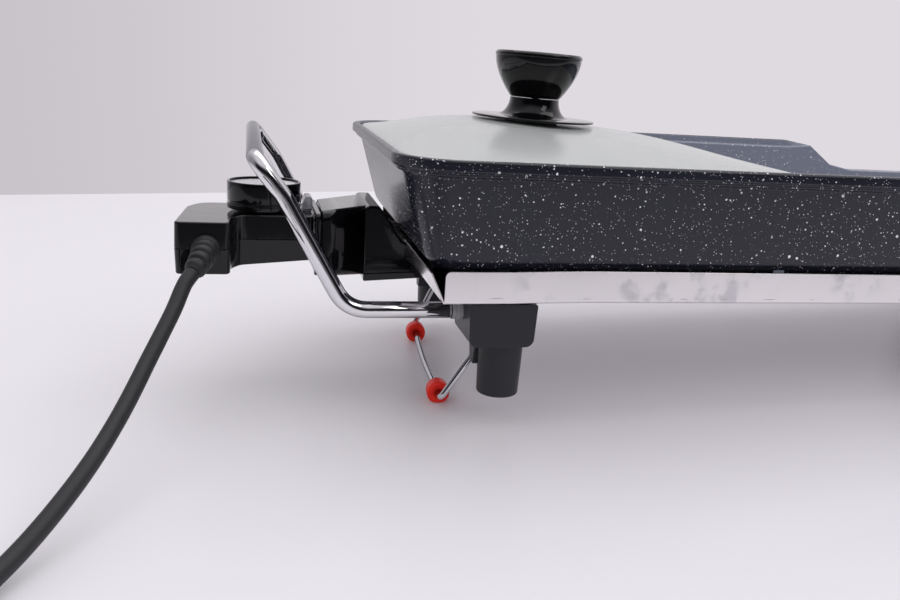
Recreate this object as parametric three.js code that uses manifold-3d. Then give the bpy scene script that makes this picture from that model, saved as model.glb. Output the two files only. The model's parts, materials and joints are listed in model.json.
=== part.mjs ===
// Electric table grill: a long cast pan with a deep section under a lift-off glass lid, carried on a
// polished sheet steel tray with four legs, wire handles, a fold-out wire stand that tips the grill
// towards its far end, and a plug-in probe thermostat with its cord.
// Millimetres, +Z up. The grill is built level, from its feet up, and then tipped onto its wire stand.
import * as THREE from 'three';
import { mergeVertices } from 'three/addons/utils/BufferGeometryUtils.js';
import Module from 'manifold-3d';

const wasm = await Module();
wasm.setup();

// Clearances shared by the whole object
const gap = 0.3;              // between pieces that touch
const overrun = 2;            // how far a cutter reaches past what it cuts
const screw_gap = 0.3;        // round a screw shank, all the way round

// Legs, from the table up
const foot_height = 31.8;
const foot_radius_low = 11.5;
const foot_radius_high = 12.6;
const block_height = 24.4;
const block_length = 37;      // along the grill
const block_depth = 33;       // across the grill
const block_shift = 5.1;      // block centre beyond the foot's, towards the pan's end
const block_draft = 2;        // how much shorter the block is at its bottom, both ends together
const block_fillet = 4;
const collar_radius = 5.2;    // round the handle where it enters the block
const collar_reach = 6.5;
const web_drop = 17;          // how far the inner web runs down the foot
const web_width = 18;
const leg_from_end = 64.7;    // pan end to leg centre
const leg_from_band = 20.7;    // tray side to leg centre

// Tray under the pan: a heat shield folded from one sheet
const sheet = 1;
const tray_side_clearance = 1.7;   // between the pan's wall and the side bands, at their top
const tray_from_end = 27;     // pan end to the end of the side bands
const band_height = 17.4;
const band_corner = 2.6;
const flap_length = 18.4;     // along its own slope
const flap_lean = 40;         // degrees from upright
const flap_setback = 8;       // shorter than the tray at each side

// Pan casting
const pan_length = 560;
const pan_width = 240;
const pan_height = 59.5;
const pan_corner = 33;
const pan_sink = 3.6;         // how far the pan sits below the top of the side bands
const wall = 4;
const pan_floor = 5;
const end_draft = 16.5;       // degrees
const side_draft = 6.5;       // degrees
const rim_out = 5;            // how far the rim stands proud of the wall
const rim_depth = 6;
const rim_step = 2.6;
const bottom_fillet = 13;
const inner_fillet = 9;
const ledge_drop = 4.8;       // lid seat below the rim
const rim_top_width = 4.4;    // rim left standing outside the lid seat
const ledge_end = 354;        // from the pan's thermostat end
const high_end = 365.2;        // where the wall starts to come down
const low_start = 394.8;       // where the low wall starts
const wall_drop = 21.4;
const step_round = 10;
const divider_at = 221;       // lid end of the deep section
const divider_thickness = 6;
const boss_radius = 5.5;
const boss_x = 165;
const boss_y = 62;

// Screws
const screw_radius = 2;
const screw_head_radius = 4;
const screw_head_height = 2.2;
const leg_screw_reach = 14;
const base_screw_reach = 9;

// Wire handles
const wire_radius = 4.05;
const handle_height = 47.9;   // centre of the level run
const handle_bend_x = 19.6;   // outside the pan end, where level and sloping runs would cross
const handle_knee_x = 52;
const handle_knee_height = 105;
const handle_top_x = 66.5;
const handle_top_height = 123.8;
const handle_low_bend = 20;
const handle_knee_bend = 40;
const handle_top_bend = 20.5;
const handle_socket = 15;     // how far it enters the leg

// Fold-out wire stand at the thermostat end
const stand_wire_radius = 1.6;
const stand_hinge_from_end = 66;
const stand_hinge_height = 31;
const stand_foot_from_end = 42.3;
const stand_skew = 3.6;          // the front bead stands this much nearer the pan's end than the middle
const stand_foot_depth = 12.1;   // bead centre below the feet
const bead_from_elbow = 17.2;    // along the grill's width
const bead_radius = 6.6;
const bead_length = 9.6;
const bead_round = 1.8;
const bead_clearance = 0.3;
const stand_elbow_from_leg = 4.3;
const stand_pin_reach = 9;
const stand_bend = 4;
const stand_run_spare = 8;       // wire left straight outside each bead

// Heating element and its terminals
const element_radius = 3.6;
const element_height = 65.7;
const element_half_width = 52;
const element_from_end = 38;
const element_loop = 46;
const terminal_half_pitch = 10;
const pin_radius = 2.4;
const pin_reach = 58;            // out of the element towards the thermostat
const insulator_radius = 4.2;
const insulator_length = 8;

// Terminal shroud
const shroud_width = 56;
const shroud_top = 89.4;
const shroud_bottom = 46.4;      // under the step, rising towards the legs
const shroud_back_bottom = 49.4;
const shroud_step_from_end = -4;
const shroud_lip_from_end = 4;   // back edge of its top
const shroud_back_from_end = 42;
const shroud_wall = 3;
const nozzle_width = 52;
const nozzle_mouth_from_end = -28.6;
const nozzle_mouth_top = 82.6;
const nozzle_mouth_bottom = 47.4;
const nozzle_root_top = 87.8;
const nozzle_root_bottom = 49;
const ear_reach = 11;
const ear_length = 12;
const ear_thickness = 4;
const tray_cut_clearance = 1;

// Plug-in thermostat
const stat_half_width = 24;
const stat_front_from_end = -33;
const stat_block_from_end = -79.5;
const stat_end_from_end = -109.5;
const stat_near = 42;             // how far the cord block stands towards the front
const stat_far = 26;
const stat_bottom = 54;
const stat_parting = 68.4;
const stat_top = 83.4;
const stat_wall = 2.5;
const stat_corner = 4;            // upright corners of the cord block
const nose_guard_thickness = 3.4;
const nose_guard_half_width = 27;
const nose_guard_bottom = 48.6;
const nose_guard_top = 85.5;
const nose_tongue = 20;
const nose_tongue_half_width = 21;
const nose_tongue_bottom = 54;
const nose_tongue_top = 78.6;
const probe_radius = 3;
const probe_height = 66;
const probe_reach = 62;
const sleeve_radius = 4.2;
const sleeve_wall = 1.2;
const sleeve_length = 16;
const dial_radius = 21.6;
const dial_height = 16;
const dial_centre_from_end = -61.4;
const dial_lip = 1.6;
const dial_dish = 2.2;
const dial_groove = 0.9;
const dial_insert_thickness = 1;
const shaft_radius = 3;
const shaft_reach = 9;
const switch_length = 24;
const switch_width = 18;
const switch_height = 15;
const lens_length = 6;
const lens_width = 15;
const lens_height = 8.6;
const lens_from_end = -36.2;
const relief_straight = 15;       // from the housing to where it would turn
const relief_tip = [-6.8, -26.2, -8.2];   // from its root: it droops with the cord
const relief_radius = 8.2;
const relief_tip_radius = 5.4;
const relief_ribs = 5;
const housing_screw_x = 5;

// Cord
const cord_radius = 4.15;
const cord_sides = 8;
const coil_mean_radius = 46;
const coil_turns_per_layer = 2.5;
const coil_layers = 2;
const coil_pitch = 9.2;
const coil_turn_round = 0.08;     // turns over which the spiral reverses
const coil_leave_radius = 40;
const coil_leave_degrees = 50;
const plug_length = 46;
const plug_width = 34;
const plug_thickness = 26;
const plug_pin_radius = 2.4;
const plug_pin_length = 19;
const plug_pin_half_pitch = 9.5;
const tie_width = 8;
const tie_thickness = 1.2;
const tie_room = 0.5;

// Lid
const lid_length = 213.4;
const lid_side_clearance = 4.1;    // between the lid and the standing rim
const lid_from_end = 5.6;
const lid_glass = 5;
const lid_rise = 12.4;
const lid_bulge = 2.8;           // power of the dome's curve: higher is flatter on top
const lid_corner = 27;           // at the pan's end
const lid_divider_corner = 9;    // beside the divider
const lid_hole_radius = 4;
const knob_from_end = 102;       // a little nearer the pan's end than the lid's middle
const knob_radius = 26.6;
const knob_neck_radius = 14.9;
const knob_height = 26.2;
const knob_foot = 13;            // height of the flared skirt
const skirt_radius = 37.8;
const skirt_plate = 2.2;
const skirt_flare = 22.5;
const gasket_radius = 15.5;
const gasket_thickness = 1.2;
const cap_radius = 24.2;
const cap_thickness = 2.2;
const washer_radius = 22;
const washer_thickness = 2.6;
const washer_sag = 1.1;           // how much its edge follows the dome down
const knob_screw_radius = 2.5;
const knob_screw_head = 5;
const knob_screw_head_height = 3;

// Derived heights and places in the level grill
const tray_underside = foot_height + block_height + gap;
const tray_floor = tray_underside + sheet;
const band_top = tray_underside + band_height;
const pan_bottom = band_top - pan_sink;
const rim_top = pan_bottom + pan_height;
const ledge_height = rim_top - ledge_drop;
const half_length = pan_length / 2;
const half_width = pan_width / 2;
const at_end = (distance) => distance - half_length;
const leg_x = half_length - leg_from_end;

// The wall's inset from the rim's outer edge, at a height, without the bottom fillet
const tan_of = (degrees) => Math.tan(THREE.MathUtils.degToRad(degrees));
const end_inset = (z) => rim_out + (rim_top - rim_depth - z) * tan_of(end_draft);
const side_inset = (z) => rim_out + (rim_top - rim_depth - z) * tan_of(side_draft);

const tray_end_x = half_length - tray_from_end;
const tray_half_width = half_width - side_inset(band_top) + tray_side_clearance + sheet;
const leg_from_middle = tray_half_width - leg_from_band;

// Materials
const finish = (name, color, roughness, metalness, extra = {}) =>
  Object.assign(new THREE.MeshStandardMaterial({ color, roughness, metalness, ...extra }), { name });
const coating = () => finish('stone_coating', 0x2e2f38, 0.55, 0.1);
const polished_steel = () => finish('polished_steel', 0xd6d3d6, 0.16, 1);
const chrome = () => finish('chrome', 0xe2e2e6, 0.07, 1);
const bakelite = () => finish('bakelite', 0x26262a, 0.42, 0);
const gloss_black = () => finish('gloss_black', 0x0e0e12, 0.12, 0);
const rubber = () => finish('cord_rubber', 0x1c1c20, 0.6, 0);
const red_silicone = () => finish('red_silicone', 0xd81a0e, 0.4, 0);
const glass = () => finish('lid_glass', 0xc9ced0, 0.05, 0, { transparent: true, opacity: 0.45 });
const brass = () => finish('contact_metal', 0xb9a26a, 0.3, 1);
const zinc = () => finish('zinc_steel', 0xa9aaad, 0.4, 1);
const ceramic = () => finish('ceramic', 0xe8e2d4, 0.6, 0);
const pale_insert = () => finish('dial_face', 0xd9d9dc, 0.3, 0);
const smoke_lens = () => finish('smoke_lens', 0x8c8c92, 0.15, 0, { transparent: true, opacity: 0.7 });

// Solids: closed geometry to and from the boolean library
function solid(geometry) {
  const plain = geometry.clone();
  plain.deleteAttribute('normal');
  plain.deleteAttribute('uv');
  const merged = mergeVertices(plain, 1e-4);
  return new wasm.Manifold(new wasm.Mesh({
    numProp: 3,
    vertProperties: new Float32Array(merged.attributes.position.array),
    triVerts: new Uint32Array(merged.index.array),
  }));
}

function geometry_of(manifold) {
  const mesh = manifold.getMesh();
  const geometry = new THREE.BufferGeometry();
  geometry.setAttribute('position', new THREE.BufferAttribute(new Float32Array(mesh.vertProperties), 3));
  geometry.setIndex(new THREE.BufferAttribute(new Uint32Array(mesh.triVerts), 1));
  geometry.computeVertexNormals();
  return geometry;
}

const join = (...parts) => parts.reduce((a, b) => a.add(b));
const cut = (body, ...tools) => tools.reduce((a, b) => a.subtract(b), body);

function box(x0, x1, y0, y1, z0, z1) {
  const geometry = new THREE.BoxGeometry(x1 - x0, y1 - y0, z1 - z0);
  geometry.translate((x0 + x1) / 2, (y0 + y1) / 2, (z0 + z1) / 2);
  return solid(geometry);
}

function outline(points) {
  return new THREE.Shape(points.map(([x, y]) => new THREE.Vector2(x, y)));
}

function rounded_outline(x0, x1, y0, y1, radius) {
  const shape = new THREE.Shape();
  const quarter = Math.PI / 2;
  shape.moveTo(x0 + radius, y0);
  shape.lineTo(x1 - radius, y0);
  shape.absarc(x1 - radius, y0 + radius, radius, -quarter, 0);
  shape.lineTo(x1, y1 - radius);
  shape.absarc(x1 - radius, y1 - radius, radius, 0, quarter);
  shape.lineTo(x0 + radius, y1);
  shape.absarc(x0 + radius, y1 - radius, radius, quarter, 2 * quarter);
  shape.lineTo(x0, y0 + radius);
  shape.absarc(x0 + radius, y0 + radius, radius, 2 * quarter, 3 * quarter);
  return shape;
}

// An outline in X and Y raised from z0 to z1
function prism_z(shape, z0, z1, curve_steps = 6) {
  const geometry = new THREE.ExtrudeGeometry(shape, {
    depth: z1 - z0, bevelEnabled: false, curveSegments: curve_steps,
  });
  geometry.translate(0, 0, z0);
  return solid(geometry);
}

// An outline in X and Z carried along Y from y0 to y1
function prism_y(shape, y0, y1, curve_steps = 6) {
  const geometry = new THREE.ExtrudeGeometry(shape, {
    depth: y1 - y0, bevelEnabled: false, curveSegments: curve_steps,
  });
  geometry.rotateX(Math.PI / 2);
  geometry.translate(0, y1, 0);
  return solid(geometry);
}

// A turned solid: [radius, height] pairs, standing on Z through x, y
function turned(profile, x, y, sides = 32) {
  const geometry = new THREE.LatheGeometry(profile.map(([r, z]) => new THREE.Vector2(r, z)), sides);
  geometry.rotateX(Math.PI / 2);
  geometry.translate(x, y, 0);
  return solid(geometry);
}

function rod_z(radius, x, y, z0, z1, sides = 16) {
  return turned([[0, z0], [radius, z0], [radius, z1], [0, z1]], x, y, sides);
}

function rod_x(radius, x0, x1, y, z, sides = 16) {
  const geometry = new THREE.CylinderGeometry(radius, radius, x1 - x0, sides);
  geometry.rotateZ(Math.PI / 2);
  geometry.translate((x0 + x1) / 2, y, z);
  return solid(geometry);
}

function rod_y(radius, x, y0, y1, z, sides = 16) {
  const geometry = new THREE.CylinderGeometry(radius, radius, y1 - y0, sides);
  geometry.translate(x, (y0 + y1) / 2, z);
  return solid(geometry);
}

// A ring of a rounded rectangle, as points with z
function ring_points({ z, hx, hy, r, r_right = r, cx = 0, steps = 6 }) {
  const points = [];
  const corners = [[1, -1, -1], [1, 1, 0], [-1, 1, 1], [-1, -1, 2]];
  for (const [sx, sy, turn] of corners) {
    const radius = sx > 0 ? r_right : r;
    for (let i = 0; i <= steps; i += 1) {
      const angle = (turn + i / steps) * Math.PI / 2;
      points.push([
        cx + sx * (hx - radius) + radius * Math.cos(angle), sy * (hy - radius) + radius * Math.sin(angle), z,
      ]);
    }
  }
  return points;
}

// A solid through rings that lie one above another, lowest first
function ring_loft(rings) {
  const loops = rings.map(ring_points);
  const count = loops[0].length;
  const positions = loops.flat(2);
  const index = [];
  for (let k = 0; k + 1 < loops.length; k += 1) {
    for (let i = 0; i < count; i += 1) {
      const j = (i + 1) % count;
      const [a, b, c, d] = [k * count + i, k * count + j, (k + 1) * count + j, (k + 1) * count + i];
      index.push(a, b, c, a, c, d);
    }
  }
  const top = (loops.length - 1) * count;
  for (let i = 1; i + 1 < count; i += 1) {
    index.push(0, i + 1, i);
    index.push(top, top + i, top + i + 1);
  }
  const geometry = new THREE.BufferGeometry();
  geometry.setAttribute('position', new THREE.Float32BufferAttribute(positions, 3));
  geometry.setIndex(index);
  return solid(geometry);
}

// A path of straight runs whose corners are rounded to a radius: points as [x, y, z]
function bent_path(points, radius) {
  const path = new THREE.CurvePath();
  const at = points.map((p) => new THREE.Vector3(...p));
  let from = at[0];
  for (let i = 1; i + 1 < at.length; i += 1) {
    const into = at[i].clone().sub(at[i - 1]).normalize();
    const out = at[i + 1].clone().sub(at[i]).normalize();
    const half = Math.acos(THREE.MathUtils.clamp(into.dot(out), -1, 1)) / 2;
    const reach = (Array.isArray(radius) ? radius[i - 1] : radius) * Math.tan(half);
    const start = at[i].clone().addScaledVector(into, -reach);
    const end = at[i].clone().addScaledVector(out, reach);
    path.add(new THREE.LineCurve3(from, start));
    path.add(new THREE.QuadraticBezierCurve3(start, at[i], end));
    from = end;
  }
  path.add(new THREE.LineCurve3(from, at[at.length - 1]));
  return path;
}

// A wire along a bent path: rings only at the ends of runs and round the bends
function bent_wire(points, radius, bend, sides, bend_steps) {
  const path = bent_path(points, bend);
  const places = [];
  const tangents = [];
  path.curves.forEach((curve, k) => {
    const straight = k % 2 === 0;
    const stops = straight ? [0] : Array.from({ length: bend_steps }, (_, i) => i / bend_steps);
    for (const t of stops) {
      places.push(curve.getPoint(t));
      tangents.push(curve.getTangent(t));
    }
  });
  const last = path.curves[path.curves.length - 1];
  places.push(last.getPoint(1));
  tangents.push(last.getTangent(1));
  return swept_rings(places, tangents, radius, sides);
}

// Rings of one radius, or of a radius a place, square to their tangents, without twist
function swept_rings(places, tangents, radius, sides) {
  const radii = Array.isArray(radius) ? radius : places.map(() => radius);
  const positions = [];
  let side = Math.abs(tangents[0].z) < 0.9 ? new THREE.Vector3(0, 0, 1) : new THREE.Vector3(1, 0, 0);
  places.forEach((place, k) => {
    const tangent = tangents[k].clone().normalize();
    side = side.clone().addScaledVector(tangent, -side.dot(tangent)).normalize();
    const other = tangent.clone().cross(side);
    for (let i = 0; i < sides; i += 1) {
      const angle = 2 * Math.PI * i / sides;
      const spot = place.clone()
        .addScaledVector(side, radii[k] * Math.cos(angle))
        .addScaledVector(other, radii[k] * Math.sin(angle));
      positions.push(spot.x, spot.y, spot.z);
    }
  });
  const index = [];
  for (let k = 0; k + 1 < places.length; k += 1) {
    for (let i = 0; i < sides; i += 1) {
      const j = (i + 1) % sides;
      const [a, b, c, d] = [k * sides + i, k * sides + j, (k + 1) * sides + j, (k + 1) * sides + i];
      index.push(a, b, c, a, c, d);
    }
  }
  const top = (places.length - 1) * sides;
  for (let i = 1; i + 1 < sides; i += 1) {
    index.push(0, i + 1, i);
    index.push(top, top + i, top + i + 1);
  }
  const geometry = new THREE.BufferGeometry();
  geometry.setAttribute('position', new THREE.Float32BufferAttribute(positions, 3));
  geometry.setIndex(index);
  geometry.computeVertexNormals();
  return geometry;
}

const model = new THREE.Group();
const grill = new THREE.Group();      // level, later tipped onto its stand
const table_things = new THREE.Group();   // cord, coil and plug, which lie on the table
model.add(grill, table_things);

function place(parent, name, shape, material) {
  const geometry = shape.isBufferGeometry ? shape : geometry_of(shape);
  const mesh = new THREE.Mesh(geometry, material);
  mesh.name = name;
  parent.add(mesh);
  return mesh;
}

// Pan: rings of its wall from the bottom up: extra is the thickness taken off, base the floor height
function pan_rings(extra, base, fillet, top) {
  const rings = [];
  const fillet_steps = 4;
  for (let i = 0; i < fillet_steps; i += 1) {
    const angle = (i / fillet_steps) * Math.PI / 2;
    const pull = fillet * (1 - Math.sin(angle));
    const z = base + fillet * (1 - Math.cos(angle));
    rings.push(pan_ring(z, extra + pull));
  }
  rings.push(pan_ring(base + fillet, extra));
  rings.push(pan_ring(top, extra));
  return rings;
}

function pan_ring(z, extra) {
  const dx = end_inset(z) + extra;
  const dy = side_inset(z) + extra;
  return { z, hx: half_length - dx, hy: half_width - dy, r: Math.max(pan_corner - (dx + dy) / 2, bottom_fillet / 2) };
}

// The region of X and Z under the rim line, lowered by a drop
function under_rim(drop) {
  const left = -half_length - overrun;
  const right = half_length + overrun;
  const high = rim_top - drop;
  const low = high - wall_drop;
  const x1 = at_end(high_end);
  const x2 = at_end(low_start);
  const slope = new THREE.Vector2(x2 - x1, low - high).normalize().multiplyScalar(step_round);
  const shape = new THREE.Shape();
  shape.moveTo(left, tray_underside);
  shape.lineTo(right, tray_underside);
  shape.lineTo(right, low);
  shape.lineTo(x2 + step_round, low);
  shape.quadraticCurveTo(x2, low, x2 - slope.x, low - slope.y);
  shape.lineTo(x1 + slope.x, high + slope.y);
  shape.quadraticCurveTo(x1, high, x1 - step_round, high);
  shape.lineTo(left, high);
  return prism_y(shape, -half_width - overrun, half_width + overrun);
}

function rim_band(inset, from_drop, to_drop) {
  const footprint = ring_loft([
    { z: tray_underside, hx: half_length - inset, hy: half_width - inset, r: pan_corner - inset },
    { z: rim_top + overrun, hx: half_length - inset, hy: half_width - inset, r: pan_corner - inset },
  ]);
  return footprint.intersect(cut(under_rim(from_drop), under_rim(to_drop)));
}

function make_pan() {
  const outer = ring_loft(pan_rings(0, pan_bottom, bottom_fillet, rim_top + overrun)).intersect(under_rim(0));
  const rim = join(rim_band(0, 0, rim_depth), rim_band(rim_out / 2, 0, rim_depth + rim_step));
  const hollow = ring_loft(pan_rings(wall, pan_bottom + pan_floor, inner_fillet, rim_top + overrun));
  const seat_half_length = (ledge_end - rim_top_width) / 2;
  const seat = ring_loft([ledge_height, rim_top + overrun].map((z) => ({
    z, hx: seat_half_length, hy: half_width - rim_top_width, r: pan_corner - rim_top_width,
    cx: at_end(rim_top_width + seat_half_length),
  })));
  const seat_square = box(at_end(divider_at), at_end(ledge_end), -half_width + rim_top_width,
    half_width - rim_top_width, ledge_height, rim_top + overrun);
  const divider = box(at_end(divider_at - divider_thickness), at_end(divider_at), -half_width + rim_out + wall,
    half_width - rim_out - wall, pan_bottom + pan_floor / 2, ledge_height);
  const bosses = [];
  const bores = [];
  for (const sx of [-1, 1]) {
    for (const sy of [-1, 1]) {
      bosses.push(rod_z(boss_radius, sx * boss_x, sy * boss_y, tray_floor + gap, pan_bottom + pan_floor / 2));
      bores.push(rod_z(screw_radius + screw_gap, sx * boss_x, sy * boss_y, tray_underside,
        tray_floor + base_screw_reach + gap));
    }
  }
  const shell = cut(join(outer, rim), hollow, seat, seat_square);
  const inside_wall = ring_loft(pan_rings(0, pan_bottom, bottom_fillet, rim_top));
  return cut(join(shell, divider.intersect(inside_wall), ...bosses), ...bores);
}
place(grill, 'pan', make_pan(), coating());

// Tray
function make_tray() {
  const bottom = box(-tray_end_x, tray_end_x, -tray_half_width, tray_half_width, tray_underside, tray_floor);
  const band = rounded_outline(-tray_end_x, tray_end_x, tray_underside, band_top, band_corner);
  const bands = [-1, 1].map((side) => prism_y(band,
    side > 0 ? tray_half_width - sheet : -tray_half_width, side > 0 ? tray_half_width : sheet - tray_half_width, 3));
  const lean = THREE.MathUtils.degToRad(flap_lean);
  const rise = flap_length * Math.cos(lean);
  const reach = flap_length * Math.sin(lean);
  const flaps = [-1, 1].map((end) => {
    const foot = end * (tray_end_x - sheet);
    const tip = end * (tray_end_x - sheet + reach);
    const over = end * sheet / Math.cos(lean);
    return prism_y(outline([
      [foot, tray_underside], [foot + over, tray_underside],
      [tip + over, tray_underside + rise], [tip, tray_underside + rise],
    ]), -tray_half_width + flap_setback, tray_half_width - flap_setback);
  });
  const cut_half = shroud_width / 2 + tray_cut_clearance;
  const window = box(-half_length, at_end(shroud_back_from_end + tray_cut_clearance), -cut_half, cut_half,
    tray_underside - overrun, band_top + overrun);
  const holes = [];
  for (const sx of [-1, 1]) {
    for (const sy of [-1, 1]) {
      holes.push(rod_z(screw_radius + screw_gap, sx * leg_x, sy * leg_from_middle,
        tray_underside - overrun, tray_floor + overrun));
      holes.push(rod_z(screw_radius + screw_gap, sx * boss_x, sy * boss_y,
        tray_underside - overrun, tray_floor + overrun));
    }
  }
  for (const sy of [-1, 1]) {
    holes.push(rod_z(screw_radius + screw_gap, ear_x, sy * ear_y, tray_underside - overrun, tray_floor + overrun));
  }
  return cut(join(bottom, ...bands, ...flaps), window, ...holes);
}
const ear_x = at_end(shroud_back_from_end - ear_length / 2);
const ear_y = shroud_width / 2 + ear_reach / 2;
place(grill, 'base_tray', make_tray(), polished_steel());

// Legs: outward is the side of the pan's end, near or far the side of the front
const stand_hinge_x = at_end(stand_hinge_from_end);

function make_leg(end, side) {
  const x = end * leg_x;
  const y = side * leg_from_middle;
  const top = foot_height + block_height;
  const half = block_length / 2;
  const depth = block_depth / 2;
  const top_x0 = x + end * block_shift - half;
  const top_x1 = x + end * block_shift + half;
  const low_x0 = top_x0 + block_draft / 2;
  const low_x1 = top_x1 - block_draft / 2;
  const side_view = new THREE.Shape();
  side_view.moveTo(top_x0, top);
  side_view.lineTo(low_x0, foot_height + block_fillet);
  side_view.quadraticCurveTo(low_x0, foot_height, low_x0 + block_fillet, foot_height);
  side_view.lineTo(low_x1 - block_fillet, foot_height);
  side_view.quadraticCurveTo(low_x1, foot_height, low_x1, foot_height + block_fillet);
  side_view.lineTo(top_x1, top);
  const block = prism_y(side_view, y - depth, y + depth, 4);
  const foot = turned([[0, 0], [foot_radius_low, 0], [foot_radius_high, foot_height + block_fillet],
    [0, foot_height + block_fillet]], x, y, 24);
  // The web is a wedge on the inner side, from the block down the foot
  const inner = y - side * depth;
  const web_low = foot_height - web_drop;
  const web = new THREE.Shape();
  web.moveTo(inner, foot_height + block_fillet);
  web.lineTo(y, foot_height + block_fillet);
  web.lineTo(y, web_low);
  web.lineTo(y - side * foot_radius_low, web_low);
  const web_geometry = new THREE.ExtrudeGeometry(web, { depth: web_width, bevelEnabled: false });
  web_geometry.rotateX(Math.PI / 2);
  web_geometry.rotateZ(Math.PI / 2);
  web_geometry.translate(x + end * block_shift - web_width / 2, 0, 0);
  const face = x + end * (block_shift + half);
  const socket = [face + end * (collar_reach + overrun), face - end * (handle_socket + gap)];
  const collar_span = [face - end * block_fillet, face + end * collar_reach];
  const collar = rod_x(collar_radius, Math.min(...collar_span), Math.max(...collar_span), y, handle_height, 14);
  const bores = [
    rod_z(screw_radius + screw_gap, x, y, top - leg_screw_reach, top + overrun),
    rod_x(wire_radius + gap, Math.min(...socket), Math.max(...socket), y, handle_height),
  ];
  if (end < 0) {
    const reach = [inner - side * overrun, inner + side * (stand_pin_reach + gap)];
    bores.push(rod_y(stand_wire_radius + gap, stand_hinge_x, Math.min(...reach), Math.max(...reach),
      stand_hinge_height, 12));
  }
  return cut(join(block, foot, collar, solid(web_geometry)), ...bores);
}

const ends = [[-1, 'left'], [1, 'right']];
const sides = [[-1, 'front'], [1, 'rear']];
for (const [end, end_name] of ends) {
  for (const [side, side_name] of sides) {
    place(grill, `leg_${end_name}_${side_name}`, make_leg(end, side), bakelite());
  }
}

// Screws: the head sits on a seat and the shank points down or up
function make_screw(x, y, seat, reach, up) {
  const way = up ? 1 : -1;
  const head_far = seat - way * screw_head_height;
  const tip = seat + way * reach;
  const profile = [[0, head_far], [screw_head_radius, head_far], [screw_head_radius, seat],
    [screw_radius, seat], [screw_radius, tip], [0, tip]];
  return turned(up ? profile : profile.reverse(), x, y, 16);
}
for (const [end, end_name] of ends) {
  for (const [side, side_name] of sides) {
    place(grill, `leg_screw_${end_name}_${side_name}`,
      make_screw(end * leg_x, side * leg_from_middle, tray_floor + gap, leg_screw_reach, false), zinc());
    place(grill, `base_screw_${end_name}_${side_name}`,
      make_screw(end * boss_x, side * boss_y, tray_underside - gap, base_screw_reach, true), zinc());
  }
}

// Handles: one wire from leg to leg
function make_handle(end) {
  const inside = end * (leg_x + block_shift + block_length / 2 - handle_socket);
  const run = (side) => [
    [inside, side * leg_from_middle, handle_height],
    [end * (half_length + handle_bend_x), side * leg_from_middle, handle_height],
    [end * (half_length + handle_knee_x), side * leg_from_middle, handle_knee_height],
    [end * (half_length + handle_top_x), side * leg_from_middle, handle_top_height],
  ];
  const bends = [handle_low_bend, handle_knee_bend, handle_top_bend];
  return bent_wire([...run(-1), ...run(1).reverse()], wire_radius, [...bends, ...[...bends].reverse()], 12, 5);
}
for (const [end, end_name] of ends) {
  place(grill, `handle_${end_name}`, make_handle(end), chrome());
}

// Stand: a wire from hinge to hinge, with two beads on its level run
const stand_foot_x = at_end(stand_foot_from_end);
const leg_inner = leg_from_middle - block_depth / 2;
const stand_elbow_from_middle = leg_inner - stand_elbow_from_leg;
const bead_from_middle = stand_elbow_from_middle - bead_from_elbow;
const support_span = leg_x + foot_radius_low - stand_foot_x;
const tip_angle = Math.asin(bead_radius / Math.hypot(support_span, stand_foot_depth))
  + Math.atan2(stand_foot_depth, support_span);
// The run between the beads lies askew, and level once the grill is tipped
const stand_run_x = (y) => stand_foot_x + stand_skew * y / bead_from_middle;
const stand_run_z = (y) => -stand_foot_depth + Math.tan(tip_angle) * stand_skew * y / bead_from_middle;
const bead_outer = bead_from_middle + bead_length / 2;

function make_stand() {
  const half = (side) => {
    const y = side * (bead_outer + stand_run_spare);
    return [
      [stand_hinge_x, side * (leg_inner + stand_pin_reach), stand_hinge_height],
      [stand_hinge_x, side * stand_elbow_from_middle, stand_hinge_height],
      [stand_run_x(y), y, stand_run_z(y)],
    ];
  };
  return bent_wire([...half(-1), ...half(1).reverse()], stand_wire_radius, stand_bend, 10, 3);
}
place(grill, 'tilt_stand', make_stand(), chrome());
for (const [side, side_name] of sides) {
  const bore = stand_wire_radius + bead_clearance;
  const end_y = bead_length / 2;
  const profile = [
    [bore, -end_y], [bead_radius - bead_round, -end_y], [bead_radius - bead_round / 3, -end_y + bead_round / 3],
    [bead_radius, -end_y + bead_round], [bead_radius, end_y - bead_round],
    [bead_radius - bead_round / 3, end_y - bead_round / 3], [bead_radius - bead_round, end_y], [bore, end_y],
    [bore, -end_y],
  ];
  const ring = new THREE.LatheGeometry(profile.map(([r, y]) => new THREE.Vector2(r, y)), 24);
  ring.rotateZ(-Math.atan2(stand_skew, bead_from_middle));
  const y = side * bead_from_middle;
  ring.translate(stand_run_x(y), y, stand_run_z(y));
  place(grill, `bead_${side_name}`, solid(ring), red_silicone());
}

// Lid
const lid_cx = at_end(lid_from_end + lid_length / 2);
const lid_edge_bottom = ledge_height + gap;
const knob_x = at_end(knob_from_end);

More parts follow.
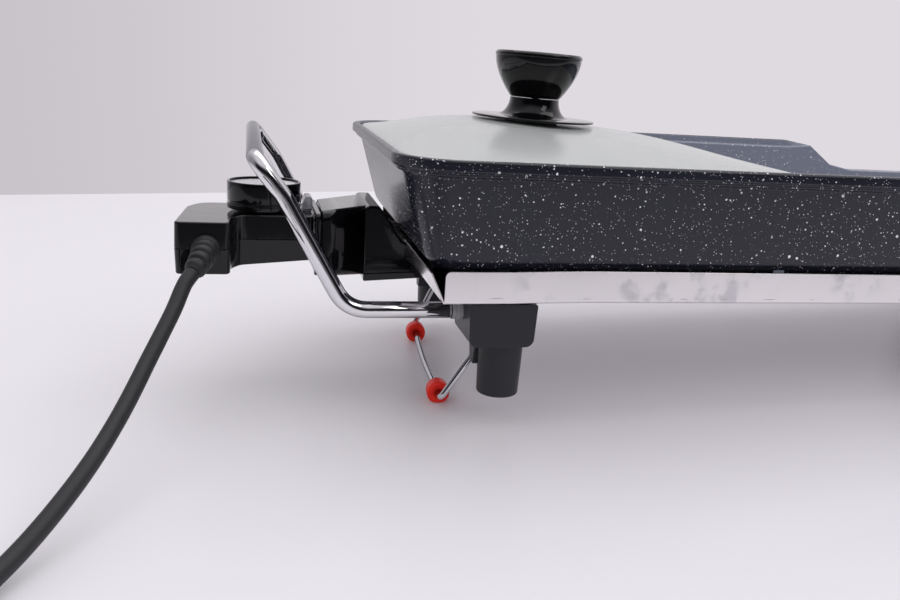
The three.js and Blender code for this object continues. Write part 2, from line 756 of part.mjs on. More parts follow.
function make_lid() {
  const hx = lid_length / 2;
  const hy = half_width - rim_top_width - lid_side_clearance;
  const ring = ring_points({
    z: 0, hx: 1, hy: hy / hx, r: lid_corner / hx, r_right: lid_divider_corner / hx, steps: 6,
  });
  const count = ring.length;
  const rise = (u, v) => (1 - Math.abs(u) ** lid_bulge) * (1 - Math.abs(v) ** lid_bulge);
  const layers = 7;
  const spot = (k, i, lift) => {
    const share = k / layers;
    const x = ring[i][0] * share;
    const y = ring[i][1] * share;
    return [lid_cx + x * hx, y * hx, lid_edge_bottom + lift + lid_rise * rise(x, y * hx / hy)];
  };
  const positions = [];
  for (const lift of [lid_glass, 0]) {
    positions.push(lid_cx, 0, lid_edge_bottom + lift + lid_rise);
    for (let k = 1; k <= layers; k += 1) {
      for (let i = 0; i < count; i += 1) positions.push(...spot(k, i, lift));
    }
  }
  const shell = 1 + layers * count;
  const index = [];
  const add = (flip, a, b, c) => index.push(a, flip ? c : b, flip ? b : c);
  for (const [base, flip] of [[0, false], [shell, true]]) {
    for (let i = 0; i < count; i += 1) {
      const j = (i + 1) % count;
      add(flip, base, base + 1 + i, base + 1 + j);
      for (let k = 1; k < layers; k += 1) {
        const inner = base + 1 + (k - 1) * count;
        const outer = inner + count;
        add(flip, inner + i, outer + i, outer + j);
        add(flip, inner + i, outer + j, inner + j);
      }
    }
  }
  const rim = 1 + (layers - 1) * count;
  for (let i = 0; i < count; i += 1) {
    const j = (i + 1) % count;
    index.push(rim + i, shell + rim + i, shell + rim + j);
    index.push(rim + i, shell + rim + j, rim + j);
  }
  const geometry = new THREE.BufferGeometry();
  geometry.setAttribute('position', new THREE.Float32BufferAttribute(positions, 3));
  geometry.setIndex(index);
  return cut(solid(geometry), rod_z(lid_hole_radius, knob_x, 0, lid_edge_bottom, rim_top + lid_rise + lid_glass));
}
place(grill, 'lid_glass', make_lid(), glass());

const glass_top = lid_edge_bottom + lid_glass + lid_rise;
const glass_under = lid_edge_bottom + lid_rise;
const skirt_bottom = glass_top + gasket_thickness + 2 * gap;
const skirt_top = skirt_bottom + knob_foot;
const knob_bottom = skirt_top + gap;
const knob_top = knob_bottom + knob_height;
const screw_bore = knob_screw_radius + gap;

place(grill, 'lid_gasket', turned([
  [screw_bore, glass_top + gap], [gasket_radius, glass_top + gap],
  [gasket_radius, glass_top + gap + gasket_thickness], [screw_bore, glass_top + gap + gasket_thickness],
  [screw_bore, glass_top + gap],
], knob_x, 0, 24), rubber());

function skirt_profile() {
  const steps = 6;
  const points = [[screw_bore, skirt_bottom], [skirt_radius - skirt_plate / 2, skirt_bottom],
    [skirt_radius, skirt_bottom + skirt_plate / 2], [skirt_radius - skirt_plate / 2, skirt_bottom + skirt_plate]];
  for (let i = 0; i <= steps; i += 1) {
    const t = i / steps;
    const radius = skirt_flare - (skirt_flare - knob_neck_radius) * Math.sin(t * Math.PI / 2);
    points.push([radius, skirt_bottom + skirt_plate + (knob_foot - skirt_plate) * (1 - Math.cos(t * Math.PI / 2))]);
  }
  points.push([screw_bore, skirt_top], [screw_bore, skirt_bottom]);
  return points;
}
place(grill, 'knob_skirt', turned(skirt_profile(), knob_x, 0, 32), gloss_black());

function knob_profile() {
  const steps = 7;
  const points = [[0, knob_bottom + knob_height / 2], [screw_bore, knob_bottom + knob_height / 2],
    [screw_bore, knob_bottom]];
  for (let i = 0; i <= steps; i += 1) {
    const angle = (i / steps) * Math.PI / 2;
    points.push([
      knob_neck_radius + (knob_radius - knob_neck_radius) * Math.sin(angle),
      knob_bottom + (knob_height - cap_thickness) * (1 - Math.cos(angle)),
    ]);
  }
  points.push([knob_radius, knob_top - cap_thickness / 2], [knob_radius - cap_thickness / 2, knob_top],
    [cap_radius + gap, knob_top], [cap_radius + gap, knob_top - cap_thickness], [0, knob_top - cap_thickness]);
  return points;
}
place(grill, 'knob', turned(knob_profile(), knob_x, 0, 32), gloss_black());
place(grill, 'knob_cap', turned([
  [0, knob_top - cap_thickness + gap], [cap_radius, knob_top - cap_thickness + gap],
  [cap_radius, knob_top], [cap_radius / 2, knob_top + cap_thickness / 2], [0, knob_top + cap_thickness * 2 / 3],
], knob_x, 0, 32), gloss_black());

const washer_top = glass_under - gap;
place(grill, 'lid_washer', turned([
  [screw_bore, washer_top - washer_thickness], [washer_radius / 2, washer_top - washer_thickness],
  [washer_radius, washer_top - washer_thickness], [washer_radius, washer_top - gap - washer_sag],
  [washer_radius / 2, washer_top - gap], [screw_bore, washer_top - gap], [screw_bore, washer_top - washer_thickness],
], knob_x, 0, 32), rubber());
const screw_seat = washer_top - washer_thickness - gap;
place(grill, 'knob_screw', turned([
  [0, screw_seat - knob_screw_head_height], [knob_screw_head, screw_seat - knob_screw_head_height],
  [knob_screw_head, screw_seat], [knob_screw_radius, screw_seat],
  [knob_screw_radius, knob_bottom + knob_height / 2 - gap], [0, knob_bottom + knob_height / 2 - gap],
], knob_x, 0, 16), zinc());

// Heating element: a hairpin tube under the pan, with its pins in the shroud
const element_x0 = at_end(element_from_end);
const element_points = [
  [element_x0, -terminal_half_pitch, element_height],
  [element_x0 + element_loop / 2, -terminal_half_pitch, element_height],
  [element_x0 + element_loop, -element_half_width, element_height],
  [half_length - element_from_end - element_loop, -element_half_width, element_height],
  [half_length - element_from_end - element_loop, element_half_width, element_height],
  [element_x0 + element_loop, element_half_width, element_height],
  [element_x0 + element_loop / 2, terminal_half_pitch, element_height],
  [element_x0, terminal_half_pitch, element_height],
];
place(grill, 'heating_element', bent_wire(element_points, element_radius, 8, 8, 4), zinc());

for (const [side, side_name] of sides) {
  const y = side * terminal_half_pitch;
  place(grill, `terminal_insulator_${side_name}`, cut(
    rod_x(insulator_radius, element_x0 - gap - insulator_length, element_x0 - gap, y, element_height, 16),
    rod_x(pin_radius + gap, element_x0 - insulator_length - overrun, element_x0 + overrun, y, element_height, 12),
  ), ceramic());
  place(grill, `terminal_pin_${side_name}`,
    rod_x(pin_radius, element_x0 - gap - pin_reach, element_x0 - gap, y, element_height, 12), brass());
}

// Terminal shroud: a nozzle that takes the thermostat, a wider root, and ears screwed to the tray
function make_shroud() {
  const half = shroud_width / 2;
  const step_x = at_end(shroud_step_from_end);
  const back_x = at_end(shroud_back_from_end);
  const shroud_lip_x = at_end(shroud_lip_from_end);
  const wall_x = (z) => -half_length + end_inset(z) - 2 * gap;
  const root_top = pan_bottom - 2 * gap;
  const root = outline([
    [step_x, shroud_bottom], [back_x, shroud_back_bottom], [back_x, root_top],
    [wall_x(pan_bottom + bottom_fillet / 2), root_top],
    [wall_x(pan_bottom + bottom_fillet), pan_bottom + bottom_fillet],
    [shroud_lip_x, shroud_top], [step_x, shroud_top],
  ]);
  const nozzle = outline([
    [at_end(nozzle_mouth_from_end), nozzle_mouth_bottom], [step_x + overrun, nozzle_root_bottom],
    [step_x + overrun, nozzle_root_top], [at_end(nozzle_mouth_from_end), nozzle_mouth_top],
  ]);
  const inner_x = wall_x(pan_bottom + bottom_fillet) - shroud_wall * 2;
  const hollow = outline([
    [at_end(nozzle_mouth_from_end) - overrun, nozzle_mouth_bottom + shroud_wall],
    [step_x, nozzle_root_bottom + shroud_wall], [back_x + overrun, shroud_back_bottom + shroud_wall],
    [back_x + overrun, root_top + overrun],
    [inner_x, root_top + overrun],
    [step_x, nozzle_root_top - shroud_wall],
    [at_end(nozzle_mouth_from_end), nozzle_mouth_top - shroud_wall],
    [at_end(nozzle_mouth_from_end) - overrun, nozzle_mouth_top - shroud_wall],
  ]);
  const nozzle_half = nozzle_width / 2;
  const ears = [-1, 1].map((side) => box(back_x - ear_length, back_x,
    side > 0 ? half - overrun : -half - ear_reach, side > 0 ? half + ear_reach : overrun - half,
    tray_underside - gap - ear_thickness, tray_underside - gap));
  const bores = [-1, 1].map((side) => rod_z(screw_radius + screw_gap, ear_x, side * ear_y,
    tray_underside - ear_thickness - overrun, tray_underside + overrun));
  const body = join(prism_y(root, -half, half), prism_y(nozzle, -nozzle_half, nozzle_half), ...ears);
  const inside = nozzle_half - shroud_wall;
  return cut(body, prism_y(hollow, -inside, inside), ...bores);
}
place(grill, 'terminal_shroud', make_shroud(), bakelite());
for (const [side, side_name] of sides) {
  place(grill, `shroud_screw_${side_name}`,
    make_screw(ear_x, side * ear_y, tray_floor + gap, ear_thickness + sheet + gap, false), zinc());
}

// Thermostat
const stat = new THREE.Group();
grill.add(stat);
const front_x = at_end(stat_front_from_end);
const block_x = at_end(stat_block_from_end);
const back_x = at_end(stat_end_from_end);

// Plan outline, drawn in by an inset: a straight body and a cord block that stands to the front
function stat_outline(inset) {
  const shape = new THREE.Shape();
  const rear_share = 0.62;     // where the rounded rear corner of the cord block starts
  const rear_y = stat_far - inset;
  shape.moveTo(front_x - inset, -stat_half_width + inset);
  shape.lineTo(front_x - inset, stat_half_width - inset);
  shape.lineTo(block_x, stat_half_width - inset);
  shape.lineTo(block_x - stat_wall, rear_y);
  shape.quadraticCurveTo(back_x + inset + (block_x - back_x) / 3, rear_y, back_x + inset + stat_wall,
    rear_y * (1 - rear_share));
  const near_y = -stat_near + inset;
  const corner = stat_corner - inset;
  shape.lineTo(back_x + inset, near_y + corner);
  shape.quadraticCurveTo(back_x + inset, near_y, back_x + inset + corner, near_y);
  shape.lineTo(block_x - inset - corner, near_y);
  shape.quadraticCurveTo(block_x - inset, near_y, block_x - inset, near_y + corner);
  shape.lineTo(block_x - inset, -stat_half_width + inset);
  return shape;
}

const relief_x = (block_x + back_x) / 2 + stat_wall;
const relief_z = (stat_bottom + stat_top) / 2;
const dial_x = at_end(dial_centre_from_end);
const housing_screws = [[front_x - housing_screw_x, stat_half_width - housing_screw_x], [block_x + housing_screw_x, stat_half_width - housing_screw_x]];

function stat_shell(z0, z1, floor_at_bottom) {
  const inner0 = floor_at_bottom ? z0 + stat_wall : z0 - overrun;
  const inner1 = floor_at_bottom ? z1 + overrun : z1 - stat_wall;
  const shell = cut(prism_z(stat_outline(0), z0, z1, 4), prism_z(stat_outline(stat_wall), inner0, inner1, 4));
  const window = box(front_x - stat_wall - overrun, front_x + overrun, -nose_tongue_half_width,
    nose_tongue_half_width, nose_tongue_bottom + stat_wall, nose_tongue_top - stat_wall);
  const gland = rod_y(relief_tip_radius + gap, relief_x, -stat_near - overrun, -stat_near + stat_wall + overrun,
    relief_z, 20);
  return cut(shell, window, gland);
}
function make_lower() {
  const posts = housing_screws.map(([x, y]) => rod_z(screw_head_radius, x, y, stat_bottom, stat_parting - gap));
  const bores = housing_screws.map(([x, y]) => join(
    rod_z(screw_radius + screw_gap, x, y, stat_bottom - overrun, stat_parting + overrun)));
  return cut(join(stat_shell(stat_bottom, stat_parting - gap / 2, true), ...posts), ...bores);
}
function make_upper() {
  const posts = housing_screws.map(([x, y]) => rod_z(screw_head_radius, x, y, stat_parting + gap, stat_top));
  const bores = housing_screws.map(([x, y]) => rod_z(screw_radius + screw_gap, x, y,
    stat_parting - overrun, stat_parting + screw_head_radius * 2));
  const shaft_hole = rod_z(shaft_radius + gap, dial_x, 0, stat_top - stat_wall - overrun, stat_top + overrun);
  return cut(join(stat_shell(stat_parting + gap / 2, stat_top, false), ...posts), ...bores, shaft_hole);
}
place(stat, 'thermostat_lower', make_lower(), gloss_black());
place(stat, 'thermostat_upper', make_upper(), gloss_black());
housing_screws.forEach(([x, y], k) => {
  place(stat, `housing_screw_${k + 1}`,
    make_screw(x, y, stat_bottom - gap, stat_parting - stat_bottom + screw_head_radius, true), zinc());
});

// Nose: guard plate and tongue that slides into the nozzle, carrying probe and contact sleeves
const guard_x0 = front_x + gap;
const guard_x1 = guard_x0 + nose_guard_thickness;
const tongue_x = guard_x1 + nose_tongue;
const sleeve_x1 = tongue_x - gap;
const probe_x0 = front_x - stat_wall - overrun;

function make_nose() {
  const guard = box(guard_x0, guard_x1, -nose_guard_half_width, nose_guard_half_width, nose_guard_bottom, nose_guard_top);
  const tongue = box(guard_x0, tongue_x, -nose_tongue_half_width, nose_tongue_half_width,
    nose_tongue_bottom, nose_tongue_top);
  const probe_hole = rod_x(probe_radius + gap, guard_x0 - overrun, tongue_x + overrun, 0, probe_height);
  const sockets = [-1, 1].map((side) => rod_x(sleeve_radius + gap, tongue_x - sleeve_length - 2 * gap,
    tongue_x + overrun, side * terminal_half_pitch, element_height));
  return cut(join(guard, tongue), probe_hole, ...sockets);
}
place(stat, 'thermostat_nose', make_nose(), bakelite());
place(stat, 'probe_rod', rod_x(probe_radius, probe_x0, tongue_x + probe_reach, 0, probe_height, 16), zinc());
for (const [side, side_name] of sides) {
  const y = side * terminal_half_pitch;
  place(stat, `contact_sleeve_${side_name}`, cut(
    rod_x(sleeve_radius, sleeve_x1 - sleeve_length, sleeve_x1, y, element_height, 16),
    rod_x(sleeve_radius - sleeve_wall, sleeve_x1 - sleeve_length + sleeve_wall, sleeve_x1 + overrun, y,
      element_height, 16),
  ), brass());
}

// Switch block under the dial, its shaft, the dial and the pale face set into it
place(stat, 'switch_block', cut(
  box(dial_x - switch_length / 2, dial_x + switch_length / 2, -switch_width / 2, switch_width / 2,
    stat_bottom + stat_wall + gap, stat_bottom + stat_wall + gap + switch_height),
  rod_z(shaft_radius + gap, dial_x, 0, stat_bottom + switch_height - shaft_reach / 2, stat_top),
), ceramic());
const dial_bottom = stat_top + gap;
const dial_top = dial_bottom + dial_height;
const dish = dial_top - dial_dish;
place(stat, 'dial_shaft', rod_z(shaft_radius, dial_x, 0, stat_bottom + switch_height - shaft_reach / 2 + gap,
  dial_bottom + shaft_reach - gap), zinc());
const dial_profile = [
  [0, dial_bottom + shaft_reach], [shaft_radius + gap, dial_bottom + shaft_reach], [shaft_radius + gap, dial_bottom],
  [dial_radius, dial_bottom], [dial_radius, dial_bottom + dial_height / 8],
  [dial_radius - dial_groove, dial_bottom + dial_height / 8],
  [dial_radius - dial_groove, dial_bottom + dial_height / 5], [dial_radius, dial_bottom + dial_height / 5],
  [dial_radius, dial_top - dial_lip / 2], [dial_radius - dial_lip / 2, dial_top],
  [dial_radius - dial_lip, dial_top], [dial_radius - dial_lip, dish - dial_insert_thickness - gap],
  [0, dish - dial_insert_thickness - gap],
];
place(stat, 'dial', turned(dial_profile, dial_x, 0, 32), gloss_black());
place(stat, 'dial_face', turned([
  [0, dish - dial_insert_thickness], [dial_radius - dial_lip - gap, dish - dial_insert_thickness],
  [dial_radius - dial_lip - gap, dish], [dial_radius / 2, dish - dial_insert_thickness / 3],
  [0, dish - dial_insert_thickness / 2],
], dial_x, 0, 32), pale_insert());

// Pilot light lens at the front edge of the upper housing
place(stat, 'pilot_lens', prism_y(rounded_outline(at_end(lens_from_end) - lens_length / 2,
  at_end(lens_from_end) + lens_length / 2, stat_top + gap, stat_top + gap + lens_height, lens_height / 3),
-lens_width / 2, lens_width / 2, 4), smoke_lens());

// Strain relief: a ribbed taper out of the cord block, square to its face and then drooping
function make_relief() {
  const root = new THREE.Vector3(relief_x, -stat_near - gap, relief_z);
  const curve = new THREE.QuadraticBezierCurve3(root, root.clone().add(new THREE.Vector3(0, -relief_straight, 0)),
    root.clone().add(new THREE.Vector3(...relief_tip)));
  const places = [];
  const tangents = [];
  const radii = [];
  const steps = relief_ribs * 4;
  for (let i = 0; i <= steps; i += 1) {
    const t = i / steps;
    const groove = i % 4 > 1 && i < steps - 2 ? dial_groove : 0;
    places.push(curve.getPoint(t));
    tangents.push(curve.getTangent(t));
    radii.push(relief_radius + (relief_tip_radius - relief_radius) * t - groove);
  }
  return swept_rings(places, tangents, radii, 10);
}
place(stat, 'strain_relief', make_relief(), rubber());

// Tip the grill onto its stand: the beads and the outer edges of the right feet reach the table
grill.rotation.y = tip_angle;
grill.updateMatrixWorld(true);
const reach_box = new THREE.Box3().setFromObject(grill, true);
grill.position.set(
  -(reach_box.min.x + reach_box.max.x) / 2,
  -(reach_box.min.y + reach_box.max.y) / 2,
  (leg_x + foot_radius_low) * Math.sin(tip_angle),
);
grill.updateMatrixWorld(true);
table_things.position.x = grill.position.x;

// Cord: from the strain relief down to the table, and along it to the coil
const cord_route = [
  [-376.2, -68.7, 84.6], [-379.9, -74.5, 80.5], [-385.1, -87, 70.4], [-391.2, -101, 60.4], [-396.4, -113.5, 52.2],
  [-400.9, -125.5, 45], [-405, -137, 38.9], [-409.3, -148.5, 33.3], [-413.6, -159.5, 28.3], [-418.1, -170, 23.8],
  [-422.7, -180, 19.8], [-429.2, -193, 14.8], [-435.6, -205, 10.6], [-442, -216.5, 7.4], [-448.6, -229, 5.3],
  [-455.6, -244, 4.5], [-461.6, -260, 4.5], [-466, -278, 4.5], [-468.2, -296, 4.5], [-468.5, -309.4, 4.5],
];
const cord_steps = 66;
const cord_curve = new THREE.CatmullRomCurve3(cord_route.map((p) => new THREE.Vector3(...p)), false, 'centripetal');
const cord_places = cord_curve.getSpacedPoints(cord_steps);
const cord_ways = cord_places.map((_, i) => cord_curve.getTangentAt(i / cord_steps));
place(table_things, 'cord', swept_rings(cord_places, cord_ways, cord_radius, cord_sides), rubber());

// Coil: two layers that spiral in and out again, entered and left along its outer turn
const coil_centre = [-526, -318];
const coil_entry_height = 4.5;
const coil_low_height = 6.2;
const coil_exit_height = 13.7;
const turns = coil_layers * coil_turns_per_layer;
const coil_high_height = coil_low_height + coil_pitch;
const coil_inner_radius = coil_mean_radius - coil_pitch * turns / 4;
const ease = (t) => {
  const u = THREE.MathUtils.clamp(t, 0, 1);
  return u * u * (3 - 2 * u);
};
function coil_point(turn) {
  const from_middle = Math.hypot(turn - turns / 2, coil_turn_round);
  const radius = coil_inner_radius + coil_pitch * from_middle;
  const height = coil_entry_height + (coil_low_height - coil_entry_height) * ease(turn * 4)
    + coil_pitch * ease((turn - turns / 2) * 2 + 1 / 2)
    + (coil_exit_height - coil_high_height) * ease((turn - turns) * 4 + 1);
  const angle = -2 * Math.PI * turn;
  return new THREE.Vector3(coil_centre[0] + radius * Math.cos(angle), coil_centre[1] + radius * Math.sin(angle), height);
}
const loop_steps = 24;
const coil_places = Array.from({ length: turns * loop_steps + 1 }, (_, i) => coil_point(i / loop_steps));
// The last turn leaves the coil outwards on an easy bend, so that the plug lies clear of it
const leave_steps = 6;
const leave_angle = THREE.MathUtils.degToRad(coil_leave_degrees);
const leave_start = coil_places[coil_places.length - 1];
for (let i = 1; i <= leave_steps; i += 1) {
  const angle = leave_angle * i / leave_steps;
  coil_places.push(new THREE.Vector3(
    leave_start.x + coil_leave_radius * (1 - Math.cos(angle)), leave_start.y - coil_leave_radius * Math.sin(angle),
    leave_start.z,
  ));
}
const way_in = new THREE.Vector3(0, -1, 0);
const way_out = new THREE.Vector3(Math.sin(leave_angle), -Math.cos(leave_angle), 0);
coil_places.unshift(coil_places[0].clone().addScaledVector(way_in, -2 * cord_radius));
coil_places.push(coil_places[coil_places.length - 1].clone().addScaledVector(way_out, 2 * cord_radius));
const coil_ways = coil_places.map((_, i) => {
  if (i < 2) return way_in;
  if (i > coil_places.length - 3) return way_out;
  return coil_places[i + 1].clone().sub(coil_places[i - 1]).normalize();
});
place(table_things, 'cord_coil', swept_rings(coil_places, coil_ways, cord_radius, 6), rubber());

// The least gap between turns, measured between points at least a third of a turn apart
let least_gap = Infinity;
coil_places.forEach((a, i) => coil_places.slice(i + loop_steps / 3).forEach((b) => {
  least_gap = Math.min(least_gap, a.distanceTo(b) - 2 * cord_radius);
}));
const coil_length = coil_places.slice(1).reduce((sum, p, i) => sum + p.distanceTo(coil_places[i]), 0);
console.log(`cord_coil: least gap ${least_gap.toFixed(2)} mm, length ${coil_length.toFixed(0)} mm;`
  + ` free cord ${cord_curve.getLength().toFixed(0)} mm`);

// Tie: a strap round the bundle, a quarter turn on from where the cord comes in
const bundle_in = coil_inner_radius + coil_pitch * (turns / 2 - 2 - 1 / 4) - cord_radius - tie_room;
const bundle_out = coil_inner_radius + coil_pitch * (turns / 2 - 1 / 4) + cord_radius + tie_room;
const tie_low = coil_low_height - cord_radius - tie_room;
const tie_high = coil_high_height + cord_radius + tie_room;
const strap = (grow, half) => box(coil_centre[0] - half, coil_centre[0] + half,
  coil_centre[1] - bundle_out - grow, coil_centre[1] - bundle_in + grow, tie_low - grow, tie_high + grow);
place(table_things, 'coil_tie', cut(strap(tie_thickness, tie_width / 2), strap(0, tie_width)), rubber());

// Plug, at the coil's outer end, lying on the table
const coil_end = coil_places[coil_places.length - 1];
const plug_neck = cord_radius + tie_thickness;
const plug_rings = [
  [0, plug_neck, plug_neck, plug_neck * 0.98], [plug_length * 0.34, plug_neck * 1.2, plug_neck * 1.2, plug_neck * 1.1],
  [plug_length * 0.42, plug_width * 0.36, plug_thickness * 0.38, plug_thickness * 0.3],
  [plug_length * 0.6, plug_width * 0.46, plug_thickness * 0.46, plug_thickness * 0.3],
  [plug_length, plug_width / 2, plug_thickness / 2, plug_thickness * 0.3],
].map(([z, hx, hy, r]) => ({ z, hx, hy, r }));
// Made pointing towards the front, then turned to face along the cord's end and set against it
const lay_plug = (geometry) => {
  geometry.rotateZ(leave_angle);
  geometry.translate(coil_end.x + gap * way_out.x, coil_end.y + gap * way_out.y, coil_end.z);
  return geometry;
};
const plug = geometry_of(ring_loft(plug_rings));
plug.rotateX(Math.PI / 2);
place(table_things, 'plug_body', lay_plug(plug), rubber());
[-1, 1].forEach((side, k) => {
  const pin = geometry_of(rod_y(plug_pin_radius, side * plug_pin_half_pitch, -plug_length - gap - plug_pin_length,
    -plug_length - gap, 0, 12));
  place(table_things, `plug_pin_${k + 1}`, lay_plug(pin), brass());
});

export default model;
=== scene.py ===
# %% [markdown]
# # An electric table grill, dressed in Blender
#
# The grill's solids come from an imported CAD model. This file gives them their looks.
# Each step says what the piece is on the real grill, how it could be made, and why it is made this way.
# Shapes are worked out as whole arrays of points, and finishes are sums written with ordinary operators.

# %% The frame
import json
import math

import bmesh
import bpy
import numpy as np
from mathutils import Matrix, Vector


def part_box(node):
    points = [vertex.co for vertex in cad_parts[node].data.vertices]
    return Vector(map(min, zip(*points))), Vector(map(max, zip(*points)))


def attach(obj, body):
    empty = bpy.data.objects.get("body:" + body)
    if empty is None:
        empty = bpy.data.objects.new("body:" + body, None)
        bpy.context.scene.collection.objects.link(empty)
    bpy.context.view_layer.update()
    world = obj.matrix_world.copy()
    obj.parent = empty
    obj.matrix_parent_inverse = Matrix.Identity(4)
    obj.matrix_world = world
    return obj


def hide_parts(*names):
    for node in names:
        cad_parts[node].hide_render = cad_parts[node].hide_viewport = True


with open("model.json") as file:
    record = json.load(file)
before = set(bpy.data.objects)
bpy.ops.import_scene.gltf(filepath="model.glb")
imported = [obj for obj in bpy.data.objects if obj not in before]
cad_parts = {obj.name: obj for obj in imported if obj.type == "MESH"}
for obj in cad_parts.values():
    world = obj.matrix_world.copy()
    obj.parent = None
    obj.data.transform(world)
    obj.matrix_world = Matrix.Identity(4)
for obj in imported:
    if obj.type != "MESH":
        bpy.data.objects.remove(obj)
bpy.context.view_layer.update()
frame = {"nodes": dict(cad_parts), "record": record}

# %% [markdown]
# ## Two ways of standing
#
# The grill was drawn level, in millimetres from the middle of its pan, and then tipped onto its wire stand.
# Drawing level is easier, so the shapes below are written in those level millimetres as well, and one function
# stands them up. The tip is read from a foot's mount in the record: its axis points along the grill's own down.

# %% Level millimetres to metres on the table
leg_x, leg_y = 215.3, 91.3
foot = next(m for m in frame["record"]["mounts"] if m["name"] == "foot_right_rear")
tip = math.atan2(-foot["axis"][0], -foot["axis"][2])
lift = foot["pos_m"][2] * 1000 + leg_x * math.sin(tip)
along = foot["pos_m"][0] * 1000 - leg_x * math.cos(tip)


def stand_up(points):
    """Turns level points (any shape, last axis x, y, z in mm) about Y by the tip, moves them, and gives metres."""
    x, y, z = np.moveaxis(np.asarray(points, float), -1, 0)
    c, s = math.cos(tip), math.sin(tip)
    return np.stack([x * c + z * s + along, y, z * c - x * s + lift], -1) / 1000


def on_table(points):
    """Gives metres for points in the table's millimetres, whose X starts under the pan's middle."""
    return (np.asarray(points, float) + (along, 0, 0)) / 1000


print(f"tipped {math.degrees(tip):.2f} degrees, lifted {lift:.2f} mm, moved {along:.2f} mm")

# %% [markdown]
# ## The camera
#
# The photo's camera was worked out from straight edges of the pan: it stands close to the near side, left of the
# knob, looks a little down and to the right, and leans a few degrees. Its place and its three angles were found in
# the level frame, so they are tipped with the grill. A camera looks along its own minus Z, with Y up.

# %% Camera
camera_spot = (-351.727, -543.497, 178.332)
camera_yaw, camera_pitch, camera_roll = 0.231221526, 0.264736724, -0.0651575191
film_width, focal_length = 36.0, 36.0


def looking(yaw, pitch, roll):
    """Right, down and forward of a camera that is yawed to the right, pitched down and then rolled."""
    forward = np.array([math.sin(yaw) * math.cos(pitch), math.cos(yaw) * math.cos(pitch), -math.sin(pitch)])
    level_right = np.array([math.cos(yaw), -math.sin(yaw), 0])
    level_down = np.cross(forward, level_right)
    right = math.cos(roll) * level_right + math.sin(roll) * level_down
    down = math.cos(roll) * level_down - math.sin(roll) * level_right
    return right, down, forward


right, down, forward = looking(camera_yaw, camera_pitch, camera_roll)
axes = np.stack([right, -down, -forward])
spot = stand_up(camera_spot)
turned_axes = (stand_up(np.array(camera_spot) + 1000 * axes) - spot).T
camera_place = np.eye(4)
camera_place[:3, :3], camera_place[:3, 3] = turned_axes, spot
camera = bpy.data.objects.new("camera", bpy.data.cameras.new("camera"))
camera.data.sensor_width, camera.data.lens = film_width, focal_length
camera.data.clip_start, camera.data.clip_end = 0.01, 50
camera.matrix_world = Matrix(camera_place.tolist())
bpy.context.scene.collection.objects.link(camera)
bpy.context.scene.camera = camera
print("camera at", spot.round(4))

# %% [markdown]
# ## Surfaces from arrays
#
# Nearly every piece here is one of two things: a profile turned round an axis, or a section carried along a path.
# Both are grids: rows of points that are joined to the next row. Each row closes on itself, and the first and last
# rows can be filled with one flat face. Sharp corners catch no light, so profiles and paths get their corners
# rounded first, with a curve that is a true arc.


# %% Rounded corners
steepest_turn = 1.5      # radians of half a turn: keeps the tangent finite where a path doubles back
nearly_half = 0.499      # of a run, so that two neighbouring corners never meet
no_division_by_zero = 1e-9


def rounded(corners, radii, steps=6, arc=True):
    """Replaces each inner corner (K, ..., n) by a curve of steps + 1 rows that starts and ends one reach away from it.
    The reach is the radius times the tangent of half the turn, and at most just under half of either run. With arc
    the curve is a rational parabola with the weight cos(half turn), which is a circle's arc, and else a parabola."""
    corners = np.asarray(corners, float)
    rows = [corners[:1]]
    t = np.linspace(0, 1, steps + 1).reshape((-1,) + (1,) * (corners.ndim - 1))
    for before, corner, after, radius in zip(corners, corners[1:], corners[2:], radii):
        back, ahead = before - corner, after - corner
        run_back = np.linalg.norm(back, axis=-1, keepdims=True) + no_division_by_zero
        run_ahead = np.linalg.norm(ahead, axis=-1, keepdims=True) + no_division_by_zero
        back, ahead = back / run_back, ahead / run_ahead
        half_turn = (math.pi - np.arccos(np.clip((back * ahead).sum(-1, keepdims=True), -1, 1))) / 2
        most = nearly_half * np.minimum(run_back, run_ahead)
        reach = np.minimum(radius * np.tan(np.minimum(half_turn, steepest_turn)), most)
        start, end = corner + back * reach, corner + ahead * reach
        weight = np.cos(half_turn) if arc else 1.0
        pull = 2 * weight * t * (1 - t)
        rows.append(((1 - t) ** 2 * start + pull * corner + t**2 * end) / ((1 - t) ** 2 + pull + t**2))
    rows.append(corners[-1:])
    return np.concatenate(rows)


print("a square corner of radius 1 becomes\n", rounded([(2, 0), (0, 0), (0, 2)], (1,), 4).round(3))


# %% From grids to pieces
def grid_faces(rows, columns, fill_first, fill_last):
    """Quads between neighbours of a rows by columns grid, whose last column meets its first, and one face over the
    first or last row where asked."""
    numbers = np.arange(rows * columns).reshape(rows, columns)
    right_hand = np.roll(numbers, -1, axis=1)
    quads = np.stack([numbers[:-1], right_hand[:-1], right_hand[1:], numbers[1:]], -1)
    faces = quads.reshape(-1, 4).tolist()
    if fill_first:
        faces.append(numbers[0, ::-1].tolist())
    if fill_last:
        faces.append(numbers[-1].tolist())
    return faces


